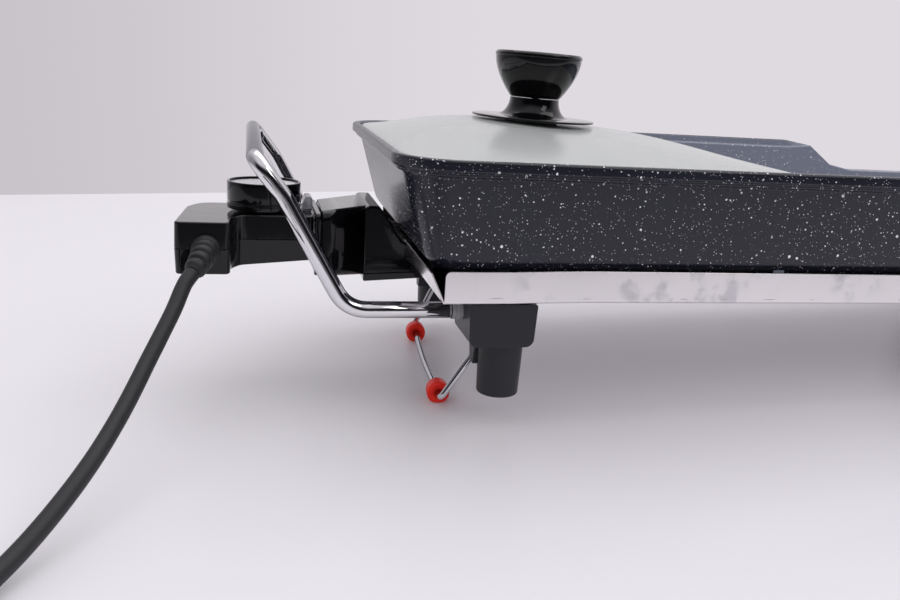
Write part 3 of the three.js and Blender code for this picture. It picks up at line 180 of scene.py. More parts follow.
def piece(name, grids, material, body, replaces=(), fill=(True, True), even=True, sharp=None, marks=None):
    """Makes one object from one or more grids of points in metres: joined doubles, faces outwards, smooth shading.
    even weighs the shading by area, and sharp is the angle in degrees from which an edge stays an edge. marks gives
    one number per point under a name, which a material can read as an attribute."""
    mesh = bpy.data.meshes.new(name)
    points, faces, count = [], [], 0
    for grid in grids if isinstance(grids, list) else [grids]:
        rows, columns = grid.shape[:2]
        faces += [[corner + count for corner in face] for face in grid_faces(rows, columns, *fill)]
        points.append(grid.reshape(-1, 3))
        count += rows * columns
    mesh.from_pydata(np.concatenate(points).tolist(), [], faces)
    for mark, numbers in (marks or {}).items():
        mesh.attributes.new(mark, "FLOAT", "POINT").data.foreach_set("value", np.asarray(numbers, np.float32))
    tidy_mesh(mesh)
    obj = bpy.data.objects.new(name, mesh)
    bpy.context.scene.collection.objects.link(obj)
    return dress(obj, material, body, replaces, even, sharp)


def open_piece(name, grid, material, body, replaces, sharp=None):
    """A piece whose one grid already starts and ends at its axis, or meets itself, so neither row gets a face."""
    return piece(name, grid, material, body, replaces, fill=(False, False), even=False, sharp=sharp)


def tidy_mesh(mesh, merge=2e-6):
    """Merges points that lie within merge metres of each other, and turns the faces outwards."""
    work = bmesh.new()
    work.from_mesh(mesh)
    bmesh.ops.remove_doubles(work, verts=work.verts, dist=merge)
    bmesh.ops.recalc_face_normals(work, faces=work.faces)
    work.to_mesh(mesh)
    work.free()


def dress(obj, material, body, replaces, even, sharp):
    """Smooth shading, a material, a body to ride on and the CAD nodes that the piece stands for."""
    obj.data.shade_smooth()
    if sharp is not None:
        obj.data.set_sharp_from_angle(angle=math.radians(sharp))
    if even:
        evener = obj.modifiers.new("even shading", "WEIGHTED_NORMAL")
        evener.keep_sharp = sharp is not None
        evener.weight = 100
    obj.data.materials.clear()
    obj.data.materials.append(material)
    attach(obj, body)
    if replaces:
        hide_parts(*replaces)
    return obj


print("grids can become pieces")


# %% Turned and swept grids
def turned(profile, sides=96):
    """Carries a profile of (radius, height) round Z: the point at angle a is (r cos a, r sin a, h)."""
    profile = np.asarray(profile, float)
    angle = np.linspace(0, 2 * math.pi, sides, endpoint=False)
    radius, height = profile[:, :1], profile[:, 1:]
    return np.stack([radius * np.cos(angle), radius * np.sin(angle), height + 0 * angle], -1)


def swept(path, radius, hint, sides=24):
    """Carries a circle along a path (K, 3): each ring is square to the path's direction there. hint is a direction
    that the path never runs along, and each ring's first spoke is the part of it that is square to the path."""
    path = np.asarray(path, float)
    ahead = np.gradient(path, axis=0)
    ahead /= np.linalg.norm(ahead, axis=1, keepdims=True)
    spoke = np.asarray(hint, float) - ahead * (ahead @ np.asarray(hint, float))[:, None]
    spoke /= np.linalg.norm(spoke, axis=1, keepdims=True)
    other = np.cross(ahead, spoke)
    angle = np.linspace(0, 2 * math.pi, sides, endpoint=False)[None, :, None]
    size = np.broadcast_to(np.asarray(radius, float), len(path))[:, None, None]
    return path[:, None] + size * (spoke[:, None] * np.cos(angle) + other[:, None] * np.sin(angle))


print("profiles can be turned and swept")

# %% [markdown]
# ## Finishes as sums
#
# A finish here is a small pattern of nodes. Wiring nodes by hand hides the sum they stand for, so a Value wraps one
# socket and takes the ordinary operators: `1 - mask * 0.3` adds the Math nodes that work it out. Every other kind
# of node comes from one method, add, which sets the node's own settings first and then its sockets.


# %% Values
def paint(code):
    """A colour written as on a paint chart, such as "2b2b33", as the linear numbers that a renderer works with."""
    part = np.array([int(code[i:i + 2], 16) for i in (0, 2, 4)]) / 255
    linear = np.where(part <= 0.04045, part / 12.92, ((part + 0.055) / 1.055) ** 2.4)
    return (*linear.tolist(), 1.0)


class Value:
    """A number or colour that varies over a surface: one socket of the node tree it belongs to."""

    def __init__(self, tree, socket):
        self.tree, self.socket = tree, socket

    def sum(self, operation, *others):
        return self.tree.add("ShaderNodeMath", {"operation": operation}, dict(enumerate((self, *others))))

    def __add__(self, other):
        return self.sum("ADD", other)

    def __mul__(self, other):
        return self.sum("MULTIPLY", other)

    def __sub__(self, other):
        return self.sum("SUBTRACT", other)

    def __truediv__(self, other):
        return self.sum("DIVIDE", other)

    def __rsub__(self, other):
        return self.sum("MULTIPLY", -1.0) + other

    __radd__, __rmul__ = __add__, __mul__

    def clipped(self):
        return self.sum("MAXIMUM", 0.0).sum("MINIMUM", 1.0)


print("mid grey paint is linear", round(paint("808080")[0], 3))


# %% Node trees
class Tree:
    """A node tree that grows by one node at a time."""

    def __init__(self, tree):
        self.tree = tree

    def add(self, kind, settings=None, sockets=None, out=0):
        """Adds a node, sets its settings, then its sockets (by name or number), and gives the named output."""
        node = self.tree.nodes.new(kind)
        for name, value in (settings or {}).items():
            setattr(node, name, value)
        for name, value in (sockets or {}).items():
            self.feed(self.find(node.inputs, name), value)
        return Value(self, self.find(node.outputs, out))

    @staticmethod
    def find(sockets, name):
        return sockets[name] if isinstance(name, int) else next(s for s in sockets if s.name == name and s.enabled)

    def feed(self, socket, value):
        if isinstance(value, Value):
            self.tree.links.new(value.socket, socket)
        else:
            socket.default_value = value

    def mix(self, factor, first, second):
        """The first colour where the factor is 0 and the second where it is 1."""
        sockets = {"Factor": factor, "A": first, "B": second}
        return self.add("ShaderNodeMix", {"data_type": "RGBA"}, sockets, "Result")

    def noise(self, point, size, detail=2.0, rough=0.5, out="Fac"):
        """Soft noise whose blots are about one size across, in metres. Its middle value is a half."""
        return self.add("ShaderNodeTexNoise", None, {
            "Vector": point, "Scale": 1 / size, "Detail": detail, "Roughness": rough}, out)

    def ramp(self, value, low, high):
        """0 below low, 1 above high and a soft step between."""
        return self.add("ShaderNodeMapRange", {"interpolation_type": "SMOOTHSTEP"}, {
            "Value": value, "From Min": low, "From Max": high})


print("trees can grow")


# %% Finishes
class Finish(Tree):
    """A material: constants go straight to its shader's sockets, and wear() feeds the ones that vary."""

    def __init__(self, name, constants):
        self.material = bpy.data.materials.new(name)
        self.material.use_nodes = True
        super().__init__(self.material.node_tree)
        self.shader = self.tree.nodes["Principled BSDF"]
        for socket, value in constants.items():
            self.shader.inputs[socket].default_value = value
        self.point = self.add("ShaderNodeTexCoord", out="Object")

    def moved(self, amount, size):
        """The place on the piece, shaken by noise: by amount metres, over blots of a size."""
        shake = self.noise(self.point, size, out="Color")
        centred = self.add("ShaderNodeVectorMath", {"operation": "SUBTRACT"}, {0: shake, 1: (0.5, 0.5, 0.5)})
        scaled = self.add("ShaderNodeVectorMath", {"operation": "SCALE"}, {0: centred, "Scale": 2 * amount})
        return self.add("ShaderNodeVectorMath", {"operation": "ADD"}, {0: self.point, 1: scaled})

    def bump(self, height, distance):
        """A normal for a height between 0 and 1 that stands for a distance in metres."""
        return self.add("ShaderNodeBump", None, {"Height": height, "Distance": distance, "Strength": 1.0})

    def wear(self, sockets):
        """Feeds the shader's sockets that vary over the surface."""
        for name, value in sockets.items():
            self.feed(self.shader.inputs[name], value)


def plain_finish(name, constants, tones, cloud, grain, gloss, drift, relief):
    """A finish of two noises, each given as (size in metres, detail). The cloud mixes the two tones. The grain, or
    the cloud where grain is None, raises the roughness from gloss by drift. It also makes a relief in metres."""
    made = Finish(name, constants)
    clouding = made.noise(made.point, *cloud)
    graining = made.noise(made.point, *grain) if grain else clouding
    made.wear({"Base Color": made.mix(clouding, *map(paint, tones)), "Roughness": gloss + drift * graining})
    if relief:
        made.wear({"Normal": made.bump(graining, relief)})
    return made.material


print("finishes can be made")

# %% [markdown]
# ## Table, room and lamps
#
# The photo was taken on pale paper under a large soft light that hangs over the grill, so its shade falls softly
# towards the front. The table is one flat sheet whose far edge is where the photo's is. Behind the camera's back
# it turns a dark grey, a painted shade, because the gloss black in the photo mirrors something darker there. The
# room is not built: the world's colour stands for it, and each kind of ray gets its own. The camera and glass see
# a pale wall, a little darker on the left. Mirrors see that wall greyer on the left and a dim zone on the camera's
# side.

# %% Table
table_far_edge, table_side, table_front = 0.735, 3.2, -3.0
painted_shade_full_y, painted_shade_fade_y = -0.57, -0.51
spread = np.array([[[-table_side, table_front, 0], [table_side, table_front, 0]],
                   [[-table_side, table_far_edge, 0], [table_side, table_far_edge, 0]]])
table_finish = Finish("table_sheet", {"IOR": 1.45})
cloud = table_finish.noise(table_finish.point, 0.35, 3.0)
toward_camera = table_finish.add("ShaderNodeSeparateXYZ", None, {0: table_finish.point}, "Y")
# Painted shade: more than about half a metre in front of the grill, the sheet turns dark grey. It stands for floor in
# shade that the gloss black mirrors.
outside_painted_shade = table_finish.ramp(toward_camera, painted_shade_full_y, painted_shade_fade_y)
paper_tone = table_finish.mix(cloud, paint("e2dfe5"), paint("e8e4ea"))
grain = table_finish.noise(table_finish.point, 0.004, 2.0)
table_finish.wear({
    "Base Color": table_finish.mix(outside_painted_shade, paint("6f6c71"), paper_tone),
    "Roughness": 0.32 + 0.06 * grain,
    "Normal": table_finish.bump(grain, 0.00004),
})
table_mesh = bpy.data.meshes.new("table_sheet")
table_mesh.from_pydata(spread.reshape(-1, 3).tolist(), [], [(0, 1, 3, 2)])
table = bpy.data.objects.new("table_sheet", table_mesh)
bpy.context.scene.collection.objects.link(table)
table_mesh.materials.append(table_finish.material)
print("table edge at", table_far_edge, "m")

# %% Room
room = bpy.data.worlds.new("room")
bpy.context.scene.world = room
room.use_nodes = True
sky = Tree(room.node_tree)
backdrop = room.node_tree.nodes["Background"]
seen_by = {ray: sky.add("ShaderNodeLightPath", out=ray)
           for ray in ("Is Camera Ray", "Is Glossy Ray", "Is Transmission Ray")}
way = sky.add("ShaderNodeTexCoord", out="Generated")
ahead = sky.add("ShaderNodeSeparateXYZ", None, {0: way}, "Y")
above = sky.add("ShaderNodeSeparateXYZ", None, {0: way}, "Z")
sideways = sky.add("ShaderNodeSeparateXYZ", None, {0: way}, "X")
dim_side = (1 - sky.ramp(ahead, -0.55, 0.05)) * (1 - sky.ramp(above, 0.35, 0.75))
mirrored_wall = sky.mix(sky.ramp(sideways, -0.95, -0.35), paint("8d8a8f"), paint("dcd8dd"))
mirrored = sky.mix(dim_side, mirrored_wall, paint("17171b"))
soft_light = (0.83, 0.825, 0.835, 1.0)
room_light = sky.mix(seen_by["Is Glossy Ray"], soft_light, mirrored)
wall = sky.mix(sky.ramp(sideways, -0.30, 0.30), paint("c8c3c8"), paint("dfdae0"))
plainly_seen = (seen_by["Is Camera Ray"] + seen_by["Is Transmission Ray"]).clipped()
sky.feed(backdrop.inputs["Color"], sky.mix(plainly_seen, room_light, wall))
bpy.context.scene.view_settings.view_transform = "Standard"
print("room is lit")


# %% Lamps
def lamp(name, place, look_at, width, height, glow):
    """A rectangle that glows evenly: its power is its glow times its area times pi."""
    data = bpy.data.lights.new(name, "AREA")
    data.shape, data.size, data.size_y = "RECTANGLE", width, height
    data.energy = glow * width * height * math.pi
    lamp_object = bpy.data.objects.new(name, data)
    lamp_object.location = place
    toward = np.array(look_at, float) - place
    back = -toward / np.linalg.norm(toward)
    side = np.cross((0.0, 0.0, 1.0) if abs(back[2]) < 0.99 else (0.0, 1.0, 0.0), back)
    side /= np.linalg.norm(side)
    turn = np.eye(4)
    turn[:3, :3], turn[:3, 3] = np.stack([side, np.cross(back, side), back], 1), place
    lamp_object.matrix_world = Matrix(turn.tolist())
    bpy.context.scene.collection.objects.link(lamp_object)


lamp("soft_ceiling", (0.32, 0.20, 1.45), (0.10, -0.05, 0.0), 2.2, 1.2, 1.2)
lamp("front_box", (0.75, -1.25, 1.15), (-0.1, -0.3, 0.0), 0.55, 0.8, 2.2)
print("two lamps")

# %% [markdown]
# ## Rubber, and the cord
#
# The mains cord leaves the thermostat's side, hangs in one long curve and runs off along the table. Only its first
# 19 cm are in the photo. The rest, to about 1.8 m in all, is wound as for storage just outside the view. It could
# be a curve with a bevel, but a tube of our own keeps one ring per point of the route, with no twist. The route
# passes smoothly through points that repeat the CAD cord's. The rubber is matte, with a fine grain.

# %% Rubber
rubber = plain_finish("matte_rubber", {"IOR": 1.5}, ("17181b", "232428"), (0.03, 2.0), (0.0012, 3.0), 0.46, 0.14,
                      0.00008)
print("rubber is ready")


# %% The cord's route
def through(points, per_gap=8):
    """A smooth path through points. Each gap is a cubic whose end speeds come from its neighbours, and time runs
    with the square root of distance (a centripetal Catmull-Rom curve), so it neither loops nor overshoots."""
    points = np.asarray(points, float)
    p = np.concatenate([2 * points[:1] - points[1:2], points, 2 * points[-1:] - points[-2:-1]])
    gap = np.sqrt(np.linalg.norm(np.diff(p, axis=0), axis=1))[:, None]
    run = np.diff(p, axis=0)
    slope = run[:-1] / gap[:-1] - (run[:-1] + run[1:]) / (gap[:-1] + gap[1:]) + run[1:] / gap[1:]
    leave, arrive = (slope[:-1] * gap[1:-1])[:, None], (slope[1:] * gap[1:-1])[:, None]
    a, b = p[1:-2][:, None], p[2:-1][:, None]
    t = np.linspace(0, 1, per_gap, endpoint=False)[None, :, None]
    curve = a + leave * t + (3 * (b - a) - 2 * leave - arrive) * t**2 + (2 * (a - b) + leave + arrive) * t**3
    return np.concatenate([curve.reshape(-1, 3), points[-1:]])


cord_route = [
    (-376.2, -68.7, 84.6), (-379.9, -74.5, 80.5), (-385.1, -87, 70.4), (-391.2, -101, 60.4), (-396.4, -113.5, 52.2),
    (-400.9, -125.5, 45), (-405, -137, 38.9), (-409.3, -148.5, 33.3), (-413.6, -159.5, 28.3), (-418.1, -170, 23.8),
    (-422.7, -180, 19.8), (-429.2, -193, 14.8), (-435.6, -205, 10.6), (-442, -216.5, 7.4), (-448.6, -229, 5.3),
    (-455.6, -244, 4.5), (-461.6, -260, 4.5), (-466, -278, 4.5), (-468.2, -296, 4.5), (-468.5, -309.4, 4.5),
]
free_cord = through(cord_route)
leaving_angle, leaving_radius, into_plug = math.radians(50), 40, 8.3


def ease(t):
    """Rises from 0 to 1 without a corner at either end: u squared times (3 minus 2u)."""
    u = np.clip(t, 0, 1)
    return u * u * (3 - 2 * u)


def coil_route(per_turn=48):
    """Five turns about one centre, clockwise from above: the radius shrinks for half of them and grows again, while
    the height rises by one layer in between. The first quarter turn climbs a little, and the last one comes down by
    as much. It then leaves on an easy bend. All of it is drawn in by half a percent, so that its round sides stay
    inside the solid coil's flat ones."""
    turns, centre, pitch = 5, np.array([-526.0, -318.0]), 9.2
    least_radius, turning_back = 34.5, 0.08
    lowest, climb, draw_in = 4.5, 1.7, 0.9945
    turn = np.linspace(0, turns, turns * per_turn + 1)
    radius = least_radius + pitch * np.hypot(turn - turns / 2, turning_back)
    layer = pitch * ease(2 * (turn - turns / 2) + 0.5)
    height = lowest + climb * ease(4 * turn) + layer - climb * ease(4 * (turn - turns) + 1)
    angle = -2 * math.pi * turn
    wound = np.stack([centre[0] + radius * np.cos(angle), centre[1] + radius * np.sin(angle), height], -1)
    bend = np.linspace(0, leaving_angle, 13)[1:]
    out = wound[-1] + leaving_radius * np.stack([1 - np.cos(bend), -np.sin(bend), 0 * bend], -1)
    last = out[-1] + into_plug * np.array([math.sin(leaving_angle), -math.cos(leaving_angle), 0])
    whole = np.concatenate([wound, out, last[None]])
    whole[:, 0] = wound[0, 0] + draw_in * (whole[:, 0] - wound[0, 0])
    return whole


coil = coil_route()
cord_path = on_table(np.concatenate([free_cord, coil]))
cord_length = np.linalg.norm(np.diff(cord_path, axis=0), axis=1).sum()
print(f"cord: {len(cord_path)} points, {cord_length:.3f} m")

# %% The cord
cord_radius = 0.0041
never_upright = (0.02, 0.01, 1.0)
cord = piece("mains_cord", swept(cord_path, cord_radius, never_upright, 16), rubber,
             "thermostat", ("cord", "cord_coil"), even=False)
print("cord made of", len(cord.data.polygons), "faces")

# %% [markdown]
# ## Outlines and walls
#
# Many mouldings are an outline that is raised, with edges that are never quite sharp. So two helpers cover most of
# the grill: one rounds the corners of a closed outline, and one carries such an outline through a list of
# (inset, height) pairs, which is a wall's profile. A rounded edge is then just a rounded corner in that profile.


# %% Outline helpers
room_for_edge = 2.2


def loop_of(corners, radii, steps=6):
    """A closed outline through corners (N, 2), each rounded to its own radius."""
    corners = np.asarray(corners, float)
    around = np.concatenate([corners[-1:], corners, corners[:1]])
    return rounded(around, radii, steps)[1:-1]


def walled(loop, profile):
    """Carries a closed outline through pairs (inset, height): each point moves along its inward normal by the inset.
    The normal is square to the line between the point's two neighbours."""
    profile = np.asarray(profile, float)
    ahead = np.roll(loop, -1, 0) - np.roll(loop, 1, 0)
    ahead /= np.linalg.norm(ahead, axis=1, keepdims=True)
    x, y = loop.T
    area = (x * np.roll(y, -1) - np.roll(x, -1) * y).sum()
    inward = math.copysign(1, area) * np.stack([-ahead[:, 1], ahead[:, 0]], -1)
    flat = loop[None] + profile[:, :1, None] * inward[None]
    return np.concatenate([flat, np.broadcast_to(profile[:, 1:, None], (len(profile), len(loop), 1))], -1)


def slab(loop, low, high, edge):
    """An outline raised from low to high, with both edges rounded to a radius. The flat faces' rim lies a bit over
    two radii in, so that the rounding has room, and the outline's own corners have to be at least that round."""
    deep = room_for_edge * edge
    return walled(loop, rounded([(deep, low), (0, low), (0, high), (deep, high)], (edge, edge), 5))


def lying(grid):
    """Swaps the height for Y: an outline that was drawn in X and Y becomes one in X and Z, raised along Y."""
    return grid[..., [0, 2, 1]]


def facing(grid):
    """Turns height into X: an outline that was drawn in X and Y becomes one in Y and Z, raised along X."""
    return grid[..., [2, 0, 1]]


def ring_points(x_shares, y_shares, arc_steps=10):
    """The pattern of a rounded rectangle: per point, the share of each half side (-1 to 1) and the spoke's cosine
    and sine. A corner has shares of 1 or -1 and a turning spoke. A side has a fixed spoke and a moving share."""
    quarter = np.linspace(0, math.pi / 2, arc_steps + 1)
    corners = [(1, -1, -1), (1, 1, 0), (-1, 1, 1), (-1, -1, 2)]
    sides = [(1, y_shares, 1, 0), (-x_shares, 1, 0, 1), (-1, -y_shares, -1, 0), (x_shares, -1, 0, -1)]
    parts = []
    for (sx, sy, turn), (tx, ty, c, s) in zip(corners, sides):
        angle = quarter + turn * math.pi / 2
        parts.append(np.stack(np.broadcast_arrays(sx, sy, np.cos(angle), np.sin(angle))))
        parts.append(np.stack(np.broadcast_arrays(tx, ty, c, s)))
    return np.concatenate(parts, 1)


def ring(pattern, half_x, half_y, corner):
    """The rounded rectangle itself: x is share times (half side - corner), plus corner times the spoke's cosine."""
    share_x, share_y, c, s = pattern
    return np.stack([share_x * (half_x - corner) + corner * c, share_y * (half_y - corner) + corner * s], -1)


print("outline helpers are ready")

# %% [markdown]
# ## Black mouldings
#
# The thermostat, knob and dial are a glossy black moulding, and the legs a satin one. Black is almost all
# reflection: what shows is how sharply the room is mirrored. So the work goes into roughness, which drifts a
# little over each piece, and into a very shallow waviness of the surface, as any moulding has. The gloss black gets
# a low index and a thin clear coat, so it mirrors weakly but sharply. The legs get a slightly paler black, because
# their satin skin scatters more light, and the ferrules clipped on to them get a mid grey, a painted reflection of
# the chrome wire.


# %% Mouldings
def moulding(name, dark, pale, gloss, drift, waviness, ior, clear=0.0):
    """A moulding: a cloudy colour between two tones, a drifting roughness and a shallow waviness in metres. Fine
    dust stands out of a satin skin, whose gloss is above 0.2, and hardly at all out of a glossy one."""
    made = Finish(name, {"IOR": ior, "Coat Weight": clear, "Coat Roughness": 0.04, "Coat IOR": ior})
    cloud = made.noise(made.point, 0.018, 3.0)
    dust = made.noise(made.point, 0.0011, 2.0)
    swell = made.noise(made.point, 0.012, 1.0)
    dusty = 0.2 if gloss > 0.2 else 0.02
    made.wear({
        "Base Color": made.mix(cloud * 0.8 + dust * 0.2, paint(dark), paint(pale)),
        "Roughness": gloss + drift * cloud + drift * 0.5 * dust,
        "Normal": made.bump(swell * 0.8 + dust * dusty, waviness),
    })
    return made.material


gloss_black = moulding("gloss_black_moulding", "060608", "0b0b0e", gloss=0.06, drift=0.05, waviness=0.00012, ior=1.33,
                       clear=0.6)
satin_black = moulding("satin_black_moulding", "1a1a1f", "242429", gloss=0.30, drift=0.10, waviness=0.00010, ior=1.44)
# Painted reflection: the ferrule's mid grey stands for the chrome wire's sheen, not for a grey moulding.
ferrule_painted_reflection = moulding("ferrule_grey_moulding", "86858a", "9c9b9f", gloss=0.26, drift=0.10, waviness=0.00008,
                        ior=1.48)
print("three mouldings")

# %% [markdown]
# ## Strain relief, coil tie and plug
#
# Where the cord leaves the housing, a ribbed sleeve keeps it from kinking. It is a tube on a short curve whose
# radius falls towards the cord, less a groove that comes back five times. The unseen end has the parts that such a
# lead has: a tie round the coil and a plug with two pins.

# %% Strain relief
relief_root = np.array([-373.3, -42.3, 67.3])
relief_aim, relief_reach = np.array([0, -15, 0]), np.array([-5.5, -26.2, -6.8])
root_radius, tip_radius, tip_rounding = 8.2, 5.4, 0.9
grooves, groove_depth, groove_start = 5.0, 1.5, 0.12


def relief_tube(steps=120):
    """A tube on the curve root + 2t(1 - t) aim + t^2 reach. Its radius runs straight from root to tip, less a groove
    whose depth is (1 - sin^2)^3, so the ribs are wide and the slots narrow. The groove fades out at both ends."""
    t = np.linspace(0, 1, steps + 1)[:, None]
    path = relief_root + 2 * t * (1 - t) * relief_aim + t**2 * relief_reach
    share = t[:, 0]
    rib = np.sin(math.pi * (grooves * share + groove_start)) ** 2
    groove = groove_depth * (1 - rib) ** 3 * ease(share * 12) * (1 - ease(share * 8 - 7.2))
    radius = root_radius + (tip_radius - root_radius) * share - groove
    return swept(path, radius - tip_rounding * ease(share * 20 - 19), (1.0, 0.2, 0.1), 40)


relief = piece("ribbed_strain_relief", stand_up(relief_tube()), rubber,
               "thermostat", ("strain_relief",), even=False)
print("relief made of", len(relief.data.polygons), "faces")

# %% Coil tie
tie_lo, tie_hi = np.array(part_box("coil_tie")) * 1000
tie_thick = 1.2


def strap(lo, hi, thick, corner=3.4):
    """A band round a bundle: a rounded outline in Y and Z, raised along X, outside wall first, then the inside."""
    loop = loop_of([(lo[1], lo[2]), (hi[1], lo[2]), (hi[1], hi[2]), (lo[1], hi[2])], [corner] * 4, 8)
    profile = rounded([(thick / 2, lo[0]), (0, lo[0]), (0, hi[0]), (thick / 2, hi[0])], (0.4, 0.4), 4)
    inner = rounded([(thick / 2, hi[0]), (thick, hi[0]), (thick, lo[0]), (thick / 2, lo[0])], (0.3, 0.3), 4)
    return facing(walled(loop, np.concatenate([profile, inner])))


tie = piece("coil_tie_band", strap(tie_lo, tie_hi, tie_thick) / 1000, rubber,
            "thermostat", ("coil_tie",), fill=(False, False), sharp=40)
print("tie from", tie_lo.round(1), "to", tie_hi.round(1))

# %% Plug
plug_pattern = ring_points(np.linspace(-0.8, 0.8, 5), np.linspace(-0.7, 0.7, 5), 8)
# Each row is a distance along the plug, half its width, half its height and its corners' radius.
plug_profile = rounded([
    (0.0, 4.6, 4.6, 4.5), (0, 5.35, 5.35, 5.24), (15.6, 6.42, 6.42, 5.88), (19.3, 12.2, 9.9, 7.8),
    (27.6, 15.6, 12.0, 7.8), (46, 17, 13, 7.8), (46, 13, 9, 5),
], (0.5, 6, 5, 12, 2.0), 8)
plug_way = np.array([math.sin(leaving_angle), -math.cos(leaving_angle), 0])
plug_side = np.array([math.cos(leaving_angle), math.sin(leaving_angle), 0])
plug_gap = 0.3


def plug_place(along_way, across, height):
    """A point in the plug's own axes put at the end of the coil, facing the way the cord leaves it."""
    here = coil[-1] + plug_gap * plug_way
    return here + along_way[..., None] * plug_way + across[..., None] * plug_side + height[..., None] * (0, 0, 1)


plug_rows = ring(plug_pattern, plug_profile[:, 1:2], plug_profile[:, 2:3], plug_profile[:, 3:4])
plug_grid = plug_place(plug_profile[:, :1] + 0 * plug_rows[..., 0], plug_rows[..., 0], plug_rows[..., 1])
plug = piece("plug_moulding", on_table(plug_grid), rubber, "thermostat", ("plug_body",))
print("plug made of", len(plug.data.polygons), "faces")

# %% Plug pins
brass = plain_finish("plated_brass", {"Metallic": 1.0}, ("b99e58", "d3bd84"), (0.003, 3.0), None, 0.2, 0.2, 0.0)
pin_radius, pin_near, pin_far, pin_apart = 2.4, 46.3, 65.3, 19.0
pin_profile = rounded([(0, pin_near), (pin_radius, pin_near), (pin_radius, pin_far), (0, pin_far)], (0.1, 1.6), 8)
for number, side in ((1, -1), (2, 1)):
    spun = turned(pin_profile, 32)
    pin_grid = plug_place(spun[..., 2], spun[..., 0] + side * pin_apart / 2, spun[..., 1])
    piece(f"plug_pin_{number}_plated", on_table(pin_grid), brass, "thermostat",
                      (f"plug_pin_{number}",), fill=(False, False))

# %% [markdown]
# ## The speckled coating
#
# The pan wears a non-stick coating: charcoal with a blue cast, sprinkled with pale flecks from dust size to about
# two millimetres. A picture of flecks would smear on the curved walls, so the flecks are spots inside the cells of
# a Voronoi pattern in space, which cuts any surface the same way. Three sizes of cell lie over each other, each
# cell's spot gets its own radius and tone, and the space is shaken first, which makes the spots ragged. Inside, the
# pan gets painted light: a paler blue grey for the light its inner walls catch, and the mesh's attribute tells where.


# %% Coating
def flecks(made, point, cell, largest, bare):
    """One layer of spots. A cell has a random number r: no spot where r is below the bare share, and else a radius
    that grows from 0 to the largest. The spot is 1 inside that radius, with a soft border of a tenth of it."""
    voronoi = {"voronoi_dimensions": "3D", "feature": "F1"}
    sockets = {"Vector": point, "Scale": 1 / cell}
    away = made.add("ShaderNodeTexVoronoi", voronoi, sockets, "Distance") * cell
    chance = made.add("ShaderNodeTexVoronoi", voronoi, sockets, "Color")
    size = made.add("ShaderNodeSeparateColor", None, {0: chance}, "Red")
    tone = made.add("ShaderNodeSeparateColor", None, {0: chance}, "Green")
    radius = ((size - bare) / (1 - bare)).clipped() * largest
    border = 0.10 * largest
    return ((radius - away) / border).clipped() * (0.62 + 0.38 * tone)


coating = Finish("speckled_coating", {"IOR": 1.46})
shaken = coating.moved(0.00045, 0.0013)
spots = flecks(coating, shaken, cell=0.0050, largest=0.00088, bare=0.38)
spots = spots.sum("MAXIMUM", flecks(coating, shaken, cell=0.0024, largest=0.00054, bare=0.30))
spots = spots.sum("MAXIMUM", flecks(coating, shaken, cell=0.0013, largest=0.00028, bare=0.12) * 0.9)
depth = coating.noise(coating.point, 0.045, 3.0)
fine = coating.noise(coating.point, 0.0009, 2.0)
ground = coating.mix(depth * 0.7 + fine * 0.3, paint("11131d"), paint("20222f"))
# Painted light: where the inside attribute is 1, the ground turns a paler blue grey. It stands for the light that the
# inner walls catch.
inside = coating.add("ShaderNodeAttribute", {"attribute_name": "inside"}, out="Fac")
ground = coating.mix(inside, ground, paint("808493"))
coating.wear({
    "Base Color": coating.mix(spots, ground, paint("f4f5fa")),
    "Roughness": 0.17 + 0.10 * fine + 0.06 * depth,
    "Normal": coating.bump(fine * 0.5 + spots * 0.5, 0.000025),
})
print("coating:", len(coating.tree.nodes), "nodes")

# %% [markdown]
# ## The pan
#
# The pan is one casting. Its walls lean out towards a rim that stands proud, the rim steps down over the shallow
# part, and the lid's seat is cut into the deep part's rim. It could be cut from blocks with booleans, but then every
# edge is knife sharp. Instead one profile goes round the outline, from the outer floor up over the rim and down
# inside. What changes along the pan, the rim's height and the seat, is looked up from each point's own X.

# %% Pan sizes, level millimetres
pan_bottom, floor_top, rim_top, half_length, half_width, pan_corner = 70.3, 75.3, 129.8, 280.0, 120.0, 33
rim_out, rim_depth, rim_width, wall = 5, 6, 4.4, 4
step_depth, step_in = 8.6, 2.5
end_slope, side_slope = math.tan(math.radians(16.5)), math.tan(math.radians(6.5))
step_line = rounded([(-300, 0), (88.4, 0), (118.0, -21.4), (300, -21.4)], (13, 11), 16)
seat_line = np.array([(-300, 4.8), (72.8, 4.8), (75.2, 0), (300, 0)])
long_shares = np.concatenate([np.linspace(-0.94, 0.27, 16), np.linspace(0.286, 0.52, 44), np.linspace(0.56, 0.95, 7)])
pan_pattern = ring_points(long_shares, np.linspace(-0.9, 0.9, 9), 14)


def pan_ring(height, inset):
    """The pan's outline at a height: its draft draws the ends in by one slope and the sides in by another, and the
    corners tighten by the mean of the two, down to a least radius."""
    least_corner = 6.5
    drop = rim_top - rim_depth - height
    in_x, in_y = rim_out + drop * end_slope + inset, rim_out + drop * side_slope + inset
    corner = np.maximum(pan_corner - (in_x + in_y) / 2, least_corner)
    flat = ring(pan_pattern, half_length - in_x, half_width - in_y, corner)
    return np.concatenate([flat, (height + 0 * flat[:, 0])[:, None]], 1)


def rim_ring(height, inset):
    """The rim's outline, which has no draft: a rounded rectangle drawn in evenly."""
    flat = ring(pan_pattern, half_length - inset, half_width - inset, pan_corner - inset)
    return np.concatenate([flat, height[:, None]], 1)


